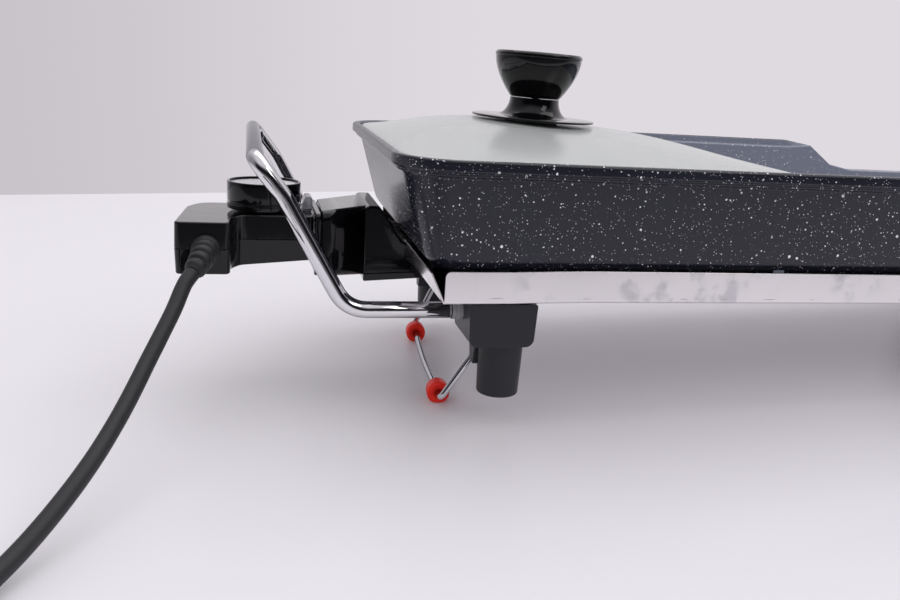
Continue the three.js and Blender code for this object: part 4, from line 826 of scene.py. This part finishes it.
def pan_grid():
    """Corner rings from the outer floor to the inner floor, all with as many points, each corner rounded. Under the
    rim the wall has a small step. Heights are looked up at the place that each point has in the rim's middle."""
    middle = 3
    place = ring(pan_pattern, half_length - middle, half_width - middle, pan_corner - middle)[:, 0]
    top = rim_top + np.interp(place, step_line[:, 0], step_line[:, 1])
    seat = top - np.interp(place, seat_line[:, 0], seat_line[:, 1])
    flat = np.zeros_like(top)
    corners = [
        pan_ring(pan_bottom + flat, wall + 30), pan_ring(pan_bottom + flat, 0), pan_ring(top - step_depth, 0),
        rim_ring(top - step_depth, step_in), rim_ring(top - rim_depth, step_in), rim_ring(top - rim_depth, 0),
        rim_ring(top, 0), rim_ring(top, rim_width), rim_ring(seat, rim_width),
        pan_ring(seat, wall), pan_ring(floor_top + flat, wall), pan_ring(floor_top + flat, 30),
    ]
    return rounded(np.array(corners), (13, 3.2, 1.6, 1.0, 2.0, 1.5, 0.9, 0.5, 1.2, 9), 6)


def divider_grid():
    """The wall between the deep and the shallow part: a rounded section in X and Z, carried across the pan and a
    bit into its side walls."""
    into_wall = 2.5
    section = loop_of([(-65.2, 73), (-58.8, 73), (-59, 125), (-65, 125)], (0.1, 0.1, 2.2, 2.2), 8)
    across = half_width - rim_out - (rim_top - rim_depth - section[:, 1]) * side_slope - into_wall
    share = np.linspace(-1, 1, 3)[:, None]
    x, z = np.broadcast_to(section[:, 0], (3, len(section))), np.broadcast_to(section[:, 1], (3, len(section)))
    return np.stack([x, share * across, z], -1)


boss_x, boss_y, inner_rows = 165, 62, 25
pan_boss = turned(rounded([(0, 57.8), (5.5, 57.8), (5.5, 73), (0, 73)], (0.6, 0.2), 4), 32)
pan_bosses = [pan_boss + (sx * boss_x, sy * boss_y, 0) for sx in (-1, 1) for sy in (-1, 1)]
pan_body, divider = pan_grid(), divider_grid()
# The inner rows and the divider are marked for the coating's painted light.
rows_inside = np.arange(len(pan_body)) >= len(pan_body) - inner_rows
painted_inner_light_marks = np.concatenate([np.repeat(rows_inside, pan_body.shape[1]), np.ones(divider[..., 0].size),
                               np.zeros(len(pan_bosses) * pan_boss[..., 0].size)])
pan = piece("cast_pan", [stand_up(form) for form in (pan_body, divider, *pan_bosses)], coating.material,
            "grill", ("pan",), marks={"inside": painted_inner_light_marks})
print("pan made of", len(pan.data.polygons), "faces")

# %% [markdown]
# ## The steel tray
#
# Under the pan lies a tray folded from one sheet of polished steel: long upright bands, a floor, and leaning flaps
# at both ends. It is a folded section carried along the tray. Near its ends the bands come down in a rounded
# corner, and at the thermostat's end, where the tray sags by a millimetre, the floor is open in the middle.
# Polished steel mirrors the table, so it looks nearly white, and only fingermarks, rolling haze and a broken crease
# along the band tell it apart from paint. The crease is a dent, and its darker colour is painted shade.

# %% Steel
crease_height, crease_core, crease_edge = 0.0598, 0.00005, 0.00025
steel = Finish("polished_sheet", {"Metallic": 1.0})
steel_level = steel.add("ShaderNodeMapping", {"vector_type": "POINT"}, {
    "Vector": steel.point, "Rotation": (0.0, -tip, 0.0), "Location": (0.0, 0.0, -lift / 1000)})
steel_height = steel.add("ShaderNodeSeparateXYZ", None, {0: steel_level}, "Z")
steel_along = steel.add("ShaderNodeSeparateXYZ", None, {0: steel_level}, "X")
haze = steel.noise(steel.point, 0.05, 3.0)
print_blot = steel.noise(steel.moved(0.004, 0.01), 0.016, 2.0)
fingermark = steel.ramp(print_blot, 0.48, 0.64) * steel.ramp(steel.noise(steel.point, 0.06, 1.0), 0.48, 0.60)
grain_stretch = steel.add("ShaderNodeMapping", None, {"Vector": steel.point, "Scale": (0.02, 1.0, 1.0)})
rolling = steel.noise(grain_stretch, 0.0007, 2.0)
only_along = steel.add("ShaderNodeCombineXYZ", None, {"X": steel_along})
dashes = steel.ramp(steel.noise(only_along, 0.022, 5.0, 0.7), 0.52, 0.60)
crease_line = 1 - steel.ramp((steel_height - crease_height).sum("ABSOLUTE"), crease_core, crease_edge)
crease = crease_line * dashes
# Painted shade: the crease line darkens the colour where shade lies in the dent. Fingermarks and haze are marks of the
# steel itself.
soil_and_crease_shade = (fingermark * 0.20 + crease * 0.30 + haze * 0.10).clipped()
steel.wear({
    "Base Color": steel.mix(soil_and_crease_shade, paint("f1edee"), paint("9ba2b0")),
    "Roughness": 0.13 + 0.12 * fingermark + 0.08 * haze + 0.03 * rolling,
    "Normal": steel.bump(rolling * 0.15 - crease * 0.7 + haze * 0.3, 0.00005),
})
print("steel:", len(steel.tree.nodes), "nodes")

# %% Tray
tray_under, band_top, tray_end, tray_half, sheet = 56.5, 73.9, 253.0, 112.014, 1.0
band_corner, cut_edge, fold, fold_inside = 3.0, 0.3, 1.7, 0.7
notch_x, opening = -237.0, 29.0
flap_half, flap_length, flap_lean = tray_half - 1.2, 18.4, math.radians(25)


def sag(x):
    """The tray hangs a little lower at the thermostat's end."""
    return 1.1 * ease((-175 - x) / 55)


def side_corners(y, side):
    """The section's corners and their radii on one side, from the inside out: a band where y is the tray's side,
    and a cut edge elsewhere."""
    if abs(y) < tray_half:
        return [(y, tray_under + sheet), (y, tray_under)], [cut_edge, cut_edge]
    inner = y - side * sheet
    return ([(inner, tray_under + sheet), (inner, band_top), (y, band_top), (y, tray_under)],
            [fold_inside, cut_edge, cut_edge, fold])


def folded(x, low_y, high_y):
    """A folded section in Y and Z carried along X. Its upright parts are scaled in height near the tray's ends: at
    a distance d from an end the corner's radius r takes r - sqrt(r^2 - (r - d)^2) off the top."""
    corners, radii = side_corners(low_y, -1)
    high_corners, high_radii = side_corners(high_y, 1)
    section = loop_of(corners + high_corners[::-1], radii + high_radii[::-1], 6)
    short = np.clip(band_corner - (tray_end - np.abs(x)), 0, band_corner)
    off = band_corner - np.sqrt(band_corner**2 - short**2)
    share = 1 - off[:, None] / (band_top - tray_under)
    z = tray_under + (section[:, 1] - tray_under) * share - sag(x)[:, None]
    return np.stack([x[:, None] + 0 * z, section[:, 0] + 0 * z, z], -1)


corner_x = tray_end - band_corner + band_corner * np.sin(np.linspace(0, math.pi / 2, 9))
main_x = np.concatenate([np.linspace(notch_x, tray_end - band_corner, 24)[:-1], corner_x])
side_x = np.concatenate([-corner_x[::-1], [notch_x - 0.02]])


def flap_grid(end):
    """An end flap: a thin leaning plate, its section in X and Z carried across the tray, with both ends chamfered."""
    foot = np.array([end * (tray_end - sheet), tray_under])
    along_flap = flap_length * np.array([end * math.sin(flap_lean), math.cos(flap_lean)])
    thick = np.array([end * sheet / math.cos(flap_lean), 0])
    section = loop_of([foot, foot + thick, foot + thick + along_flap, foot + along_flap], (0.25,) * 4, 4)
    chamfered = [(cut_edge, -flap_half), (0, cut_edge - flap_half), (0, flap_half - cut_edge), (cut_edge, flap_half)]
    grid = lying(walled(section, chamfered))
    return grid - sag(grid[..., :1]) * (0, 0, 1)


def split_flap(side):
    """One half of the flap at the thermostat's end, beside its opening."""
    grid = flap_grid(-1)
    near, far = sorted((side * opening, side * flap_half))
    grid[..., 1] = np.interp(grid[..., 1], (-flap_half, flap_half), (near, far))
    return grid


tray_grids = [folded(main_x, -tray_half, tray_half), folded(side_x, -tray_half, -opening),
              folded(side_x, opening, tray_half), flap_grid(1), split_flap(-1), split_flap(1)]
tray = piece("folded_tray", [stand_up(grid) for grid in tray_grids], steel.material, "grill",
             ("base_tray",), sharp=40)
print("tray of", len(tray_grids), "folded sheets,", len(tray.data.polygons), "faces")

# %% [markdown]
# ## Legs
#
# Four satin mouldings carry the tray: each has a block that takes the handle's wire, a round foot that narrows
# towards the table, and a wedge on the inner side that takes the stand's pin. One leg is worked out for a corner,
# and the same function with other signs gives the rest. A ferrule closes the hole round the wire, and its grey is a
# painted reflection of the chrome wire.

# %% Legs
ends, sides = {"left": -1, "right": 1}, {"front": -1, "rear": 1}
foot_top, block_top, block_shift, half_block, half_depth, nose = 31.8, 56.2, 5.1, 18.5, 16.5, 3.2
wedge_low, wedge_half, wire_height = 14.8, 9, 47.0


def leg_grids(end, side):
    """Block (outline in X and Z raised along Y), foot (a turned profile) and wedge (outline in Y and Z along X).
    The block reaches a nose's length further out than in."""
    x, y = end * leg_x, side * leg_y
    near, far = x + end * block_shift - half_block, x + end * block_shift + half_block
    top = block_top - sag(np.array(x))
    block = loop_of([(near + 1, foot_top), (far - 1, foot_top), (far, top), (near, top)], (4.6, 4.6, 1.35, 1.35))
    wedge = loop_of([(y - side * half_depth, foot_top + 4), (y - side * half_depth, foot_top),
                     (y - side * 11, wedge_low), (y - side * 4, wedge_low), (y, foot_top + 4)],
                    (0.1, 1.2, 1.0, 0.5, 0.1))
    foot = rounded([(0, 0), (11.5, 0), (12.6, 35.8), (0, 35.8)], (1.1, 0.5), 5)
    middle = x + end * block_shift
    low_y, high_y = sorted((y - side * half_depth, y + side * (half_depth + nose)))
    return [lying(slab(block, low_y, high_y, 0.6)), turned(foot, 64) + (x, y, 0),
            facing(slab(wedge, middle - wedge_half, middle + wedge_half, 0.45))]


def ferrule_grid(end, side):
    """A grooved sleeve round the wire where it enters the block: a profile turned about the wire's own line."""
    face = leg_x + block_shift + half_block
    profile = rounded([(4.6, face - 3), (5.1, face - 3), (5.1, face + 2.0), (4.8, face + 2.5), (4.8, face + 3.1),
                       (5.0, face + 3.5), (5.0, face + 5.4), (4.6, face + 5.4)], (0.1, 0.3, 0.2, 0.2, 0.3, 0.6), 4)
    spun = turned(profile, 48)
    return np.stack([end * spun[..., 2], spun[..., 0] + side * leg_y, spun[..., 1] + wire_height], -1)


for end_name, end in ends.items():
    for side_name, side in sides.items():
        corner_name = f"{end_name}_{side_name}"
        piece(f"leg_moulding_{corner_name}", [stand_up(grid) for grid in leg_grids(end, side)], satin_black,
              "grill", (f"leg_{corner_name}",))
        piece(f"leg_ferrule_{corner_name}", stand_up(ferrule_grid(end, side)), ferrule_painted_reflection, "grill",
              fill=(False, False))
print("four legs")

# %% [markdown]
# ## Handles, stand and beads
#
# Each handle is one chromed wire from leg to leg, and the stand is a thin one that folds out and wears two red
# beads. A wire is a circle carried along straight runs with rounded corners. Each handle sits with a little play in
# its blocks, and the stand's long run is bowed a little. Chrome has next to no colour: it is a mirror with a faint
# haze, so the lamps and the dim side of the room do the drawing. A dark specular tint dims it at glancing angles.

# %% Chrome
chrome = Finish("bright_chrome", {"Metallic": 1.0, "Specular Tint": (0.38, 0.38, 0.40, 1.0)})
chrome_haze = chrome.noise(chrome.point, 0.02, 3.0)
chrome_dust = chrome.noise(chrome.point, 0.0012, 2.0)
chrome.wear({
    "Base Color": chrome.mix(chrome_haze, paint("dedde1"), paint("f0eff1")),
    "Roughness": 0.035 + 0.07 * chrome_haze * chrome_haze + 0.03 * chrome_dust,
    "Normal": chrome.bump(chrome_dust, 0.00001),
})
print("chrome is ready")


# %% Handles
handle_radius, handle_play = 4.45, {"left": 1.1, "right": -0.5}
handle_bends = (20, 40, 20.5, 20.5, 40, 20)


def handle_corners(end, play):
    """The corners of one handle, from inside the front leg's block up to the top bar and down to the rear one's."""
    inside = end * (leg_x + block_shift + half_block - 15)
    run = np.array([(inside, 1, wire_height), (end * (299.6 + play), 1, wire_height), (end * (332 + play), 1, 105),
                    (end * (346.5 + play), 1, 123.8)])
    other = run * (1, -1, 1)
    return np.concatenate([other, run[::-1]]) * (1, leg_y, 1)


for end_name, end in ends.items():
    handle_path = rounded(handle_corners(end, handle_play[end_name]), handle_bends, 14, arc=False)
    handle = swept(handle_path, handle_radius, (-0.5 * end, 0, 1), 32)
    piece(f"wire_handle_{end_name}", stand_up(handle), chrome.material, "grill", (f"handle_{end_name}",),
          even=False)
print("two handles")

# %% Stand
hinge_x, hinge_z, elbow_y, bead_y, stand_reach = -214.0, 31.0, 70.514, 57.2, 70.1
stand_foot_x, foot_deep, skew, bead_half, stand_radius, bow = -237.7, 12.1, 3.6, 4.8, 1.95, 1.5


def stand_point(y):
    """The run between the beads lies askew: its X and height change evenly with Y."""
    return np.array([stand_foot_x + skew * y / bead_y, y, -foot_deep + math.tan(tip) * skew * y / bead_y])


def stand_path():
    """Hinge pin, elbow, foot and the run between the beads, with each corner bent. Between the beads the run bows
    out by bow times (1 - s^2), where s goes from -1 to 1."""
    half = [np.array([hinge_x, side * y, hinge_z]) for side in (-1, 1) for y in (leg_y - half_depth + 9, elbow_y)]
    corners = [half[0], half[1], stand_point(-stand_reach), stand_point(stand_reach), half[3], half[2]]
    path = rounded(corners, (4, 4, 4, 4), 10, arc=False)
    middle = np.argmax(np.linalg.norm(np.diff(path, axis=0), axis=1))
    run = np.linspace(path[middle], path[middle + 1], 26)
    inner = np.clip(1 - (run[:, 1] / (bead_y - bead_half)) ** 2, 0, 1)
    run[:, 0] -= bow * inner
    return np.concatenate([path[:middle], run, path[middle + 2:]])


stand = piece("wire_stand", stand_up(swept(stand_path(), stand_radius, (1, 0, 0.1), 20)), chrome.material,
              "stand", ("tilt_stand",), even=False)
print("stand made of", len(stand.data.polygons), "faces")

# %% Beads
red = Finish("red_silicone_rubber", {"IOR": 1.43, "Subsurface Weight": 0.25, "Subsurface Scale": 0.002})
red_cloud = red.noise(red.point, 0.004, 3.0)
red_dust = red.noise(red.point, 0.0008, 2.0)
red.wear({
    "Base Color": red.mix(red_cloud, paint("dc1508"), paint("f42a14")),
    "Roughness": 0.34 + 0.16 * red_dust,
    "Normal": red.bump(red_dust + red_cloud, 0.00005),
})


def bead_grid(side):
    """A ring turned about the wire. Its lower half follows a fuller curve than a circle, where it is pressed flat:
    each spoke's cosine and sine are raised to the power 0.82 and keep their signs."""
    bore, outside, pressed = 2.1, 6.58, 0.82
    profile = rounded([(bore, -bead_half), (outside, -bead_half), (outside, bead_half), (bore, bead_half)],
                      (1.7, 1.7), 8)
    profile = np.concatenate([profile, profile[:1]])
    angle = np.linspace(0, 2 * math.pi, 64, endpoint=False)
    c, s = np.cos(angle), np.sin(angle)
    power = np.where(s < 0, pressed, 1.0)
    fade = np.clip((profile[:, :1] - 3) / 2, 0, 1)
    flat_c, flat_s = np.sign(c) * np.abs(c) ** power, np.sign(s) * np.abs(s) ** power
    x = profile[:, :1] * (c + (flat_c - c) * fade)
    z = profile[:, :1] * (s + (flat_s - s) * fade)
    y = profile[:, 1:] + 0 * x
    lean = math.atan2(skew, bead_y)
    spun = np.stack([x * math.cos(lean) + y * math.sin(lean), y * math.cos(lean) - x * math.sin(lean), z], -1)
    return spun + stand_point(side * bead_y)


for side_name, side in sides.items():
    open_piece(f"stand_bead_{side_name}", stand_up(bead_grid(side)), red.material, "stand",
               (f"bead_{side_name}",))
print("two beads")

# %% [markdown]
# ## Glass lid and knob
#
# The lid is a thick pane that is domed over the pan and sits in the rim's seat. Its height is a product of two
# curves, one along and one across, so it is flat at the rim and full in the middle. Glass at a glancing angle is
# mostly mirror, which gives the grey sheen of the photo. Its high index and the part of it that doesn't transmit make
# it milky, and away from the knob it gets rougher, so only the knob is mirrored sharply. The knob leans a little.

# %% Glass
knob_x, glass_top = -179.0, 142.7
glass = Finish("clear_pane", {"Transmission Weight": 0.58, "IOR": 2.1})
glass_haze = glass.noise(glass.point, 0.035, 3.0)
glass_wave = glass.noise(glass.point, 0.09, 1.0)
knob_foot = tuple(stand_up((knob_x, -6.0, glass_top)))
knob_distance = glass.add("ShaderNodeVectorMath", {"operation": "DISTANCE"}, {0: glass.point, 1: knob_foot}, "Value")
off_knob = glass.ramp(knob_distance, 0.018, 0.042)
glass.wear({
    "Base Color": glass.mix(glass_haze, paint("eef2f1"), paint("f8fafa")),
    "Roughness": 0.04 + 0.16 * off_knob + 0.04 * glass_haze,
    "Normal": glass.bump(glass_wave, 0.0003),
})
print("glass is ready")


# %% Lid
def lid_grid():
    """Rings of one outline, shrunk towards its middle: out over the top, round the edge and back underneath. The
    height is the edge's, plus (13.7 - 5u)(1 - |u|^3.2)(1 - v^2) for shares u along and v across."""
    half_x, half_y, middle_x, seat, thick, round_off, reach = 106.7, 111.5, -167.7, 125.3, 3.2, 1.6, 107
    pattern = ring_points(np.linspace(-0.9, 0.9, 11), np.linspace(-0.9, 0.9, 11), 14)
    left_corner, right_corner = 27, 9
    corner = left_corner + (right_corner - left_corner) * (pattern[0] + 1) / 2
    edge = ring(pattern, half_x, half_y, corner)
    out = np.concatenate([[0], np.linspace(0.03, 0.93, 26), np.linspace(0.945, 0.978, 4)])
    arc = np.linspace(0, math.pi / 2, 7)[1:]
    rim_share = 1 - round_off * (1 - np.sin(arc)) / reach
    share = np.concatenate([out, rim_share, rim_share[::-1], out[::-1]])
    rounding = np.concatenate([0 * out, -round_off * (1 - np.cos(arc))])
    above_seat = np.concatenate([thick + rounding, -rounding[::-1]])
    u, v = share[:, None] * edge[:, 0] / half_x, share[:, None] * edge[:, 1] / half_y
    rise = (13.7 - 5.0 * u) * (1 - np.abs(u) ** 3.2) * (1 - v**2)
    return np.stack([u * half_x + middle_x, v * half_y, seat + above_seat[:, None] + rise], -1)


lid = open_piece("domed_glass_lid", stand_up(lid_grid()), glass.material, "lid", ("lid_glass",))
print("lid made of", len(lid.data.polygons), "faces")

# %% Knob
knob_lean = math.radians(1.3)
skirt_low = glass_top + 0.7
skirt_high = skirt_low + 13
knob_low = skirt_high + 0.3
knob_high = knob_low + 26.7


def on_knob(profile):
    """A profile turned about the knob's axis, which leans a little, square to the glass."""
    x, y, z = np.moveaxis(turned(profile, 128), -1, 0)
    x, z = x + (z - glass_top) * knob_lean, z - x * knob_lean
    return stand_up(np.stack([x + knob_x, y, z], -1))


arc = np.linspace(0, math.pi / 2, 20)
flare = np.stack([22.5 - 7.4 * np.sin(arc), skirt_low + 2.2 + 10.8 * (1 - np.cos(arc))], -1)
disc = rounded([(2.8, skirt_low), (30, skirt_low), (37.8, skirt_low + 0.5), (37.6, skirt_low + 1.7),
                (30, skirt_low + 2.1), (23.5, skirt_low + 2.2)], (20, 0.5, 0.5, 20), 6)
skirt_profile = np.concatenate([disc, flare, [(2.8, skirt_high)]])
height = np.linspace(0, 1, 26)
bowl = np.stack([26.2 - 11.0 * (1 - height) ** 1.7, knob_low + 23.4 * height], -1)
lip = rounded([(26.2, knob_low + 23.6), (26.6, knob_low + 24.2), (26.6, knob_high - 1.3), (25.4, knob_high - 0.1),
               (24.5, knob_high), (24.5, knob_high - 2.2), (0, knob_high - 2.2)], (0.3, 1.2, 0.6, 0.3, 0.2), 5)
knob_profile = np.concatenate([[(0, knob_low)], bowl, lip])
cap_profile = rounded([(0, knob_high - 1.9), (24.2, knob_high - 1.9), (24.2, knob_high - 0.5),
                       (22.6, knob_high - 0.35), (12, knob_high + 0.5), (0, knob_high + 0.6)], (0.2, 0.6, 1.0, 20), 8)
gasket_profile = rounded([(2.8, glass_top - 0.5), (15.5, glass_top - 0.5), (15.5, glass_top + 0.6),
                          (2.8, glass_top + 0.6)], (0.5, 0.5), 5)
open_piece("knob_skirt_disc", on_knob(skirt_profile), gloss_black, "lid", ("knob_skirt",), sharp=50)
open_piece("knob_grip", on_knob(knob_profile), gloss_black, "lid", ("knob",), sharp=50)
open_piece("knob_lid_cap", on_knob(cap_profile), gloss_black, "lid", ("knob_cap",), sharp=60)
open_piece("knob_gasket", on_knob(gasket_profile), rubber, "lid", ("lid_gasket",))
print("knob top at level height", round(knob_high, 2))

# %% [markdown]
# ## Thermostat housing
#
# Two glossy shells meet in a fine parting line: a straight body that carries the dial, and a block at its end from
# which the cord comes out to the side. Both follow one outline, with a fillet where the block begins. The shells
# lean in a little away from the parting, so the lower one mirrors the table and the upper one the dark room. The
# lower one's underside rises towards the grill, and the block hangs a little lower than the body.

# %% Shells
stat_front, stat_block, stat_back = -313.0, -359.5, -391.0
stat_low, seam_low, seam_high, stat_top = 54, 68.25, 68.55, 83.4
underside_rise, seam_rise, block_drop = 3.3, 1.1, 1.4
housing = loop_of([
    (stat_front, -24), (stat_front, 24), (stat_block, 24), (-362, 26), (-379.5, 26), (-387, 9.9), (stat_back, -42),
    (stat_block, -42), (stat_block, -24),
], (2.6, 2.6, 3, 3, 14, 14, 4, 4, 9), 10)
shell_wall, shell_floor = 2.5, 2.5
lower_profile = rounded([
    (2.4, stat_low), (0.9, stat_low), (0.25, seam_low), (shell_wall, seam_low),
    (shell_wall, stat_low + shell_floor), (shell_wall + 0.06, stat_low + shell_floor)], (2.2, 0.3, 0.3, 0.1), 6)
upper_profile = rounded([
    (shell_wall + 0.06, stat_top - shell_floor), (shell_wall, stat_top - shell_floor), (shell_wall, seam_high),
    (0.25, seam_high), (0.5, stat_top), (2.6, stat_top)], (0.1, 0.3, 0.3, 2.6), 6)
lower_shell, upper_shell = walled(housing, lower_profile), walled(housing, upper_profile)
below = np.clip((seam_low - lower_shell[..., 2]) / (seam_low - stat_low), 0, 1)
lower_shell[..., 2] += underside_rise * ease((lower_shell[..., 0] - stat_block - 2) / 44) * below
for shell in (lower_shell, upper_shell):
    along_body = ease((shell[..., 0] - stat_block + 3) / 9)
    near_seam = np.clip(1 - np.abs(shell[..., 2] - (seam_low + seam_high) / 2) / 10, 0, 1)
    shell[..., 2] += seam_rise * along_body * near_seam - block_drop * (1 - along_body)
boss_profile = rounded([(0, stat_low), (4.8, stat_low), (4.8, stat_low + 6), (0, stat_low + 6)], (0.5, 0.1), 4)
bosses = [turned(boss_profile, 40) + (x, 19, 0) for x in (-318, -354.5)]
piece("housing_lower_shell", [stand_up(grid) for grid in (lower_shell, *bosses)], gloss_black,
      "thermostat", ("thermostat_lower",))
piece("housing_upper_shell", stand_up(upper_shell), gloss_black, "thermostat", ("thermostat_upper",))
print("two shells round an outline of", len(housing), "points")

# %% [markdown]
# ## Guard, lens and dial
#
# A plate stands between the housing and the grill, and keeps fingers off the hot end. A smoky lens over the pilot
# lamp leans against it. The dial is a turned cup with a fine groove near its foot, tilted by about a degree, and a
# pale dished disc without print is let into its top.

# %% Guard and tongue
guard = loop_of([(-27, 48.6), (27, 48.6), (27, 85.5), (-27, 85.5)], (3.0,) * 4, 8)
tongue = loop_of([(-21, 54), (21, 54), (21, 78.6), (-21, 78.6)], (2.5,) * 4, 6)
piece("finger_guard", [stand_up(facing(slab(guard, -312.7, -309.3, 0.9))),
                       stand_up(facing(slab(tongue, -309.5, -289.3, 1.0)))], gloss_black, "thermostat",
      ("thermostat_nose",))
print("guard and tongue")

# %% Pilot lens
smoke = plain_finish("smoky_lens", {"Transmission Weight": 0.55, "IOR": 1.49}, ("8f8f95", "aeaeb4"), (0.003, 2.0),
                     None, 0.06, 0.06, 0.00003)
lens = loop_of([(-319.2, 83.7), (-313.2, 83.7), (-313.2, 92.3), (-317.2, 92.3), (-319.2, 88)],
               (0.6, 0.6, 2.2, 1.5, 3), 8)
piece("pilot_lamp_lens", stand_up(lying(slab(lens, -7.5, 7.5, 0.55))), smoke, "thermostat",
      ("pilot_lens",))
print("lens")

# %% Dial
dial_x, dial_low, dial_tilt = -341.4, 84.1, 0.021
dial_high = dial_low + 16
dial_profile = rounded([
    (0, dial_low + 9), (3.3, dial_low + 9), (3.3, dial_low), (21.5, dial_low), (21.6, dial_low + 3.2),
    (20.7, dial_low + 3.5), (20.7, dial_low + 4.3), (21.5, dial_low + 4.6), (21.6, dial_high), (20.0, dial_high),
    (20.0, dial_high - 3.5), (0, dial_high - 3.5),
], (0.2, 0.2, 0.5, 0.3, 0.2, 0.2, 0.3, 0.7, 0.4, 0.3), 5)
dish = np.linspace(0, 1, 16)
face_radius = 19.7
face_profile = np.concatenate([
    [(0, dial_high - 3.2), (face_radius, dial_high - 3.2)],
    np.stack([face_radius * (1 - dish), dial_high - 1.5 - 1.2 * ease(dish * 1.4)], -1)])
pale = plain_finish("pale_dial_disc", {"IOR": 1.5}, ("cfcdd2", "dddbe0"), (0.01, 2.0), (0.0006, 2.0), 0.24, 0.1,
                    0.00002)


def on_dial(profile, sides_round):
    """A profile turned about the dial's axis. Its height falls a little towards the back."""
    spun = turned(profile, sides_round)
    return stand_up(spun - dial_tilt * spun[..., 1:2] * (0, 0, 1) + (dial_x, 0, 0))


open_piece("dial_cup", on_dial(dial_profile, 128), gloss_black, "dial", ("dial",), sharp=50)
open_piece("dial_dished_disc", on_dial(face_profile, 96), pale, "dial", ("dial_face",), sharp=50)
print("dial and disc")

# %% [markdown]
# ## Terminal shroud
#
# The thermostat plugs into a black nozzle that is fixed under the pan's end. The nozzle is a tube whose rounded
# rectangle grows towards the pan. Behind it stands the wider root, cut to the slope of the pan's wall, with a low
# flange along its foot and two ears that are screwed to the tray. All of it gets narrower with the height.

# %% Nozzle and root
nozzle_pattern = ring_points(np.linspace(-0.9, 0.9, 9), np.linspace(-0.8, 0.8, 5), 10)


def nozzle_ring(x, half_y, low, high, corner):
    """A rounded rectangle in Y and Z at one X."""
    flat = ring(nozzle_pattern, half_y, (high - low) / 2, corner)
    return np.stack([x + 0 * flat[:, 0], flat[:, 0], flat[:, 1] + (low + high) / 2], -1)


mouth_x, nozzle_root_x, taper = -308.6, -283.0, 0.0016
nozzle = rounded(np.array([
    nozzle_ring(nozzle_root_x, 26, 49, 90.3, 5.4), nozzle_ring(mouth_x, 26, 47.4, 86.4, 5.4),
    nozzle_ring(mouth_x, 23.2, 50.2, 83.6, 2.6), nozzle_ring(nozzle_root_x, 23, 52, 87.3, 2.6)]), (0.8, 0.5), 5)
root_outline = loop_of([(-284, 46.4), (-238, 49.4), (-238, 69.6), (-261.7, 69.6), (-270.2, 84.0), (-275.8, 90.9),
                        (-284, 90.9)], (2.6, 2.6, 2.6, 3, 3, 2.6, 2.6), 8)
flange_outline = loop_of([(-284.2, 46.4), (-237.8, 49.4), (-237.8, 53.4), (-284.2, 51.0)], (0.9,) * 4, 5)
shroud_grids = [nozzle, lying(slab(root_outline, -27.3, 27.3, 1.15)), lying(slab(flange_outline, -28, 28, 0.4))]
for side in (-1, 1):
    near, far = sorted((side * 26, side * 39))
    ear = loop_of([(-250, near), (-238, near), (-238, far), (-250, far)], (2, 2, 3, 3), 6)
    shroud_grids.append(slab(ear, 52.2, 56.2, 0.8))
for form in shroud_grids:
    form[..., 1] *= 1 - taper * (form[..., 2] - 68)
piece("terminal_nozzle", [stand_up(grid) for grid in shroud_grids], gloss_black, "grill",
      ("terminal_shroud",))
print("shroud of", len(shroud_grids), "forms")

# %% [markdown]
# ## The pieces that stay as they are
#
# Screws, pins, the heating tube and the parts inside the thermostat keep their CAD shapes, because hardly anything
# of them shows. They still get real finishes: zinc plate with a mottled crystal pattern, glazed ceramic, plated
# brass. A dictionary from the record's slots to finishes covers them all.

# %% Hidden metal and ceramic
zinc = Finish("zinc_plate", {"Metallic": 1.0})
zinc_cells = zinc.add("ShaderNodeTexVoronoi", {"feature": "F1"}, {"Vector": zinc.moved(0.0005, 0.002), "Scale": 900.0},
                      "Distance")
zinc_cloud = zinc.noise(zinc.point, 0.006, 3.0)
zinc.wear({
    "Base Color": zinc.mix((zinc_cells * 0.5 + zinc_cloud * 0.5).clipped(), paint("9fa1a6"), paint("c6c7ca")),
    "Roughness": 0.28 + 0.2 * zinc_cloud,
    "Normal": zinc.bump(zinc_cells, 0.00002),
})
ceramic = plain_finish("glazed_ceramic", {"IOR": 1.5}, ("ddd7c8", "ebe6da"), (0.004, 3.0), None, 0.45, 0.2, 0.00004)
finish_for = {
    "stone_coating": coating.material, "polished_steel": steel.material, "chrome": chrome.material,
    "bakelite": satin_black, "gloss_black": gloss_black, "cord_rubber": rubber, "red_silicone": red.material,
    "lid_glass": glass.material, "contact_metal": brass, "zinc_steel": zinc.material, "ceramic": ceramic,
    "dial_face": pale, "smoke_lens": smoke,
}
for part in frame["record"]["subparts"]:
    for place in frame["nodes"][part["node"]].material_slots:
        place.material = finish_for[part["material_slot"]]
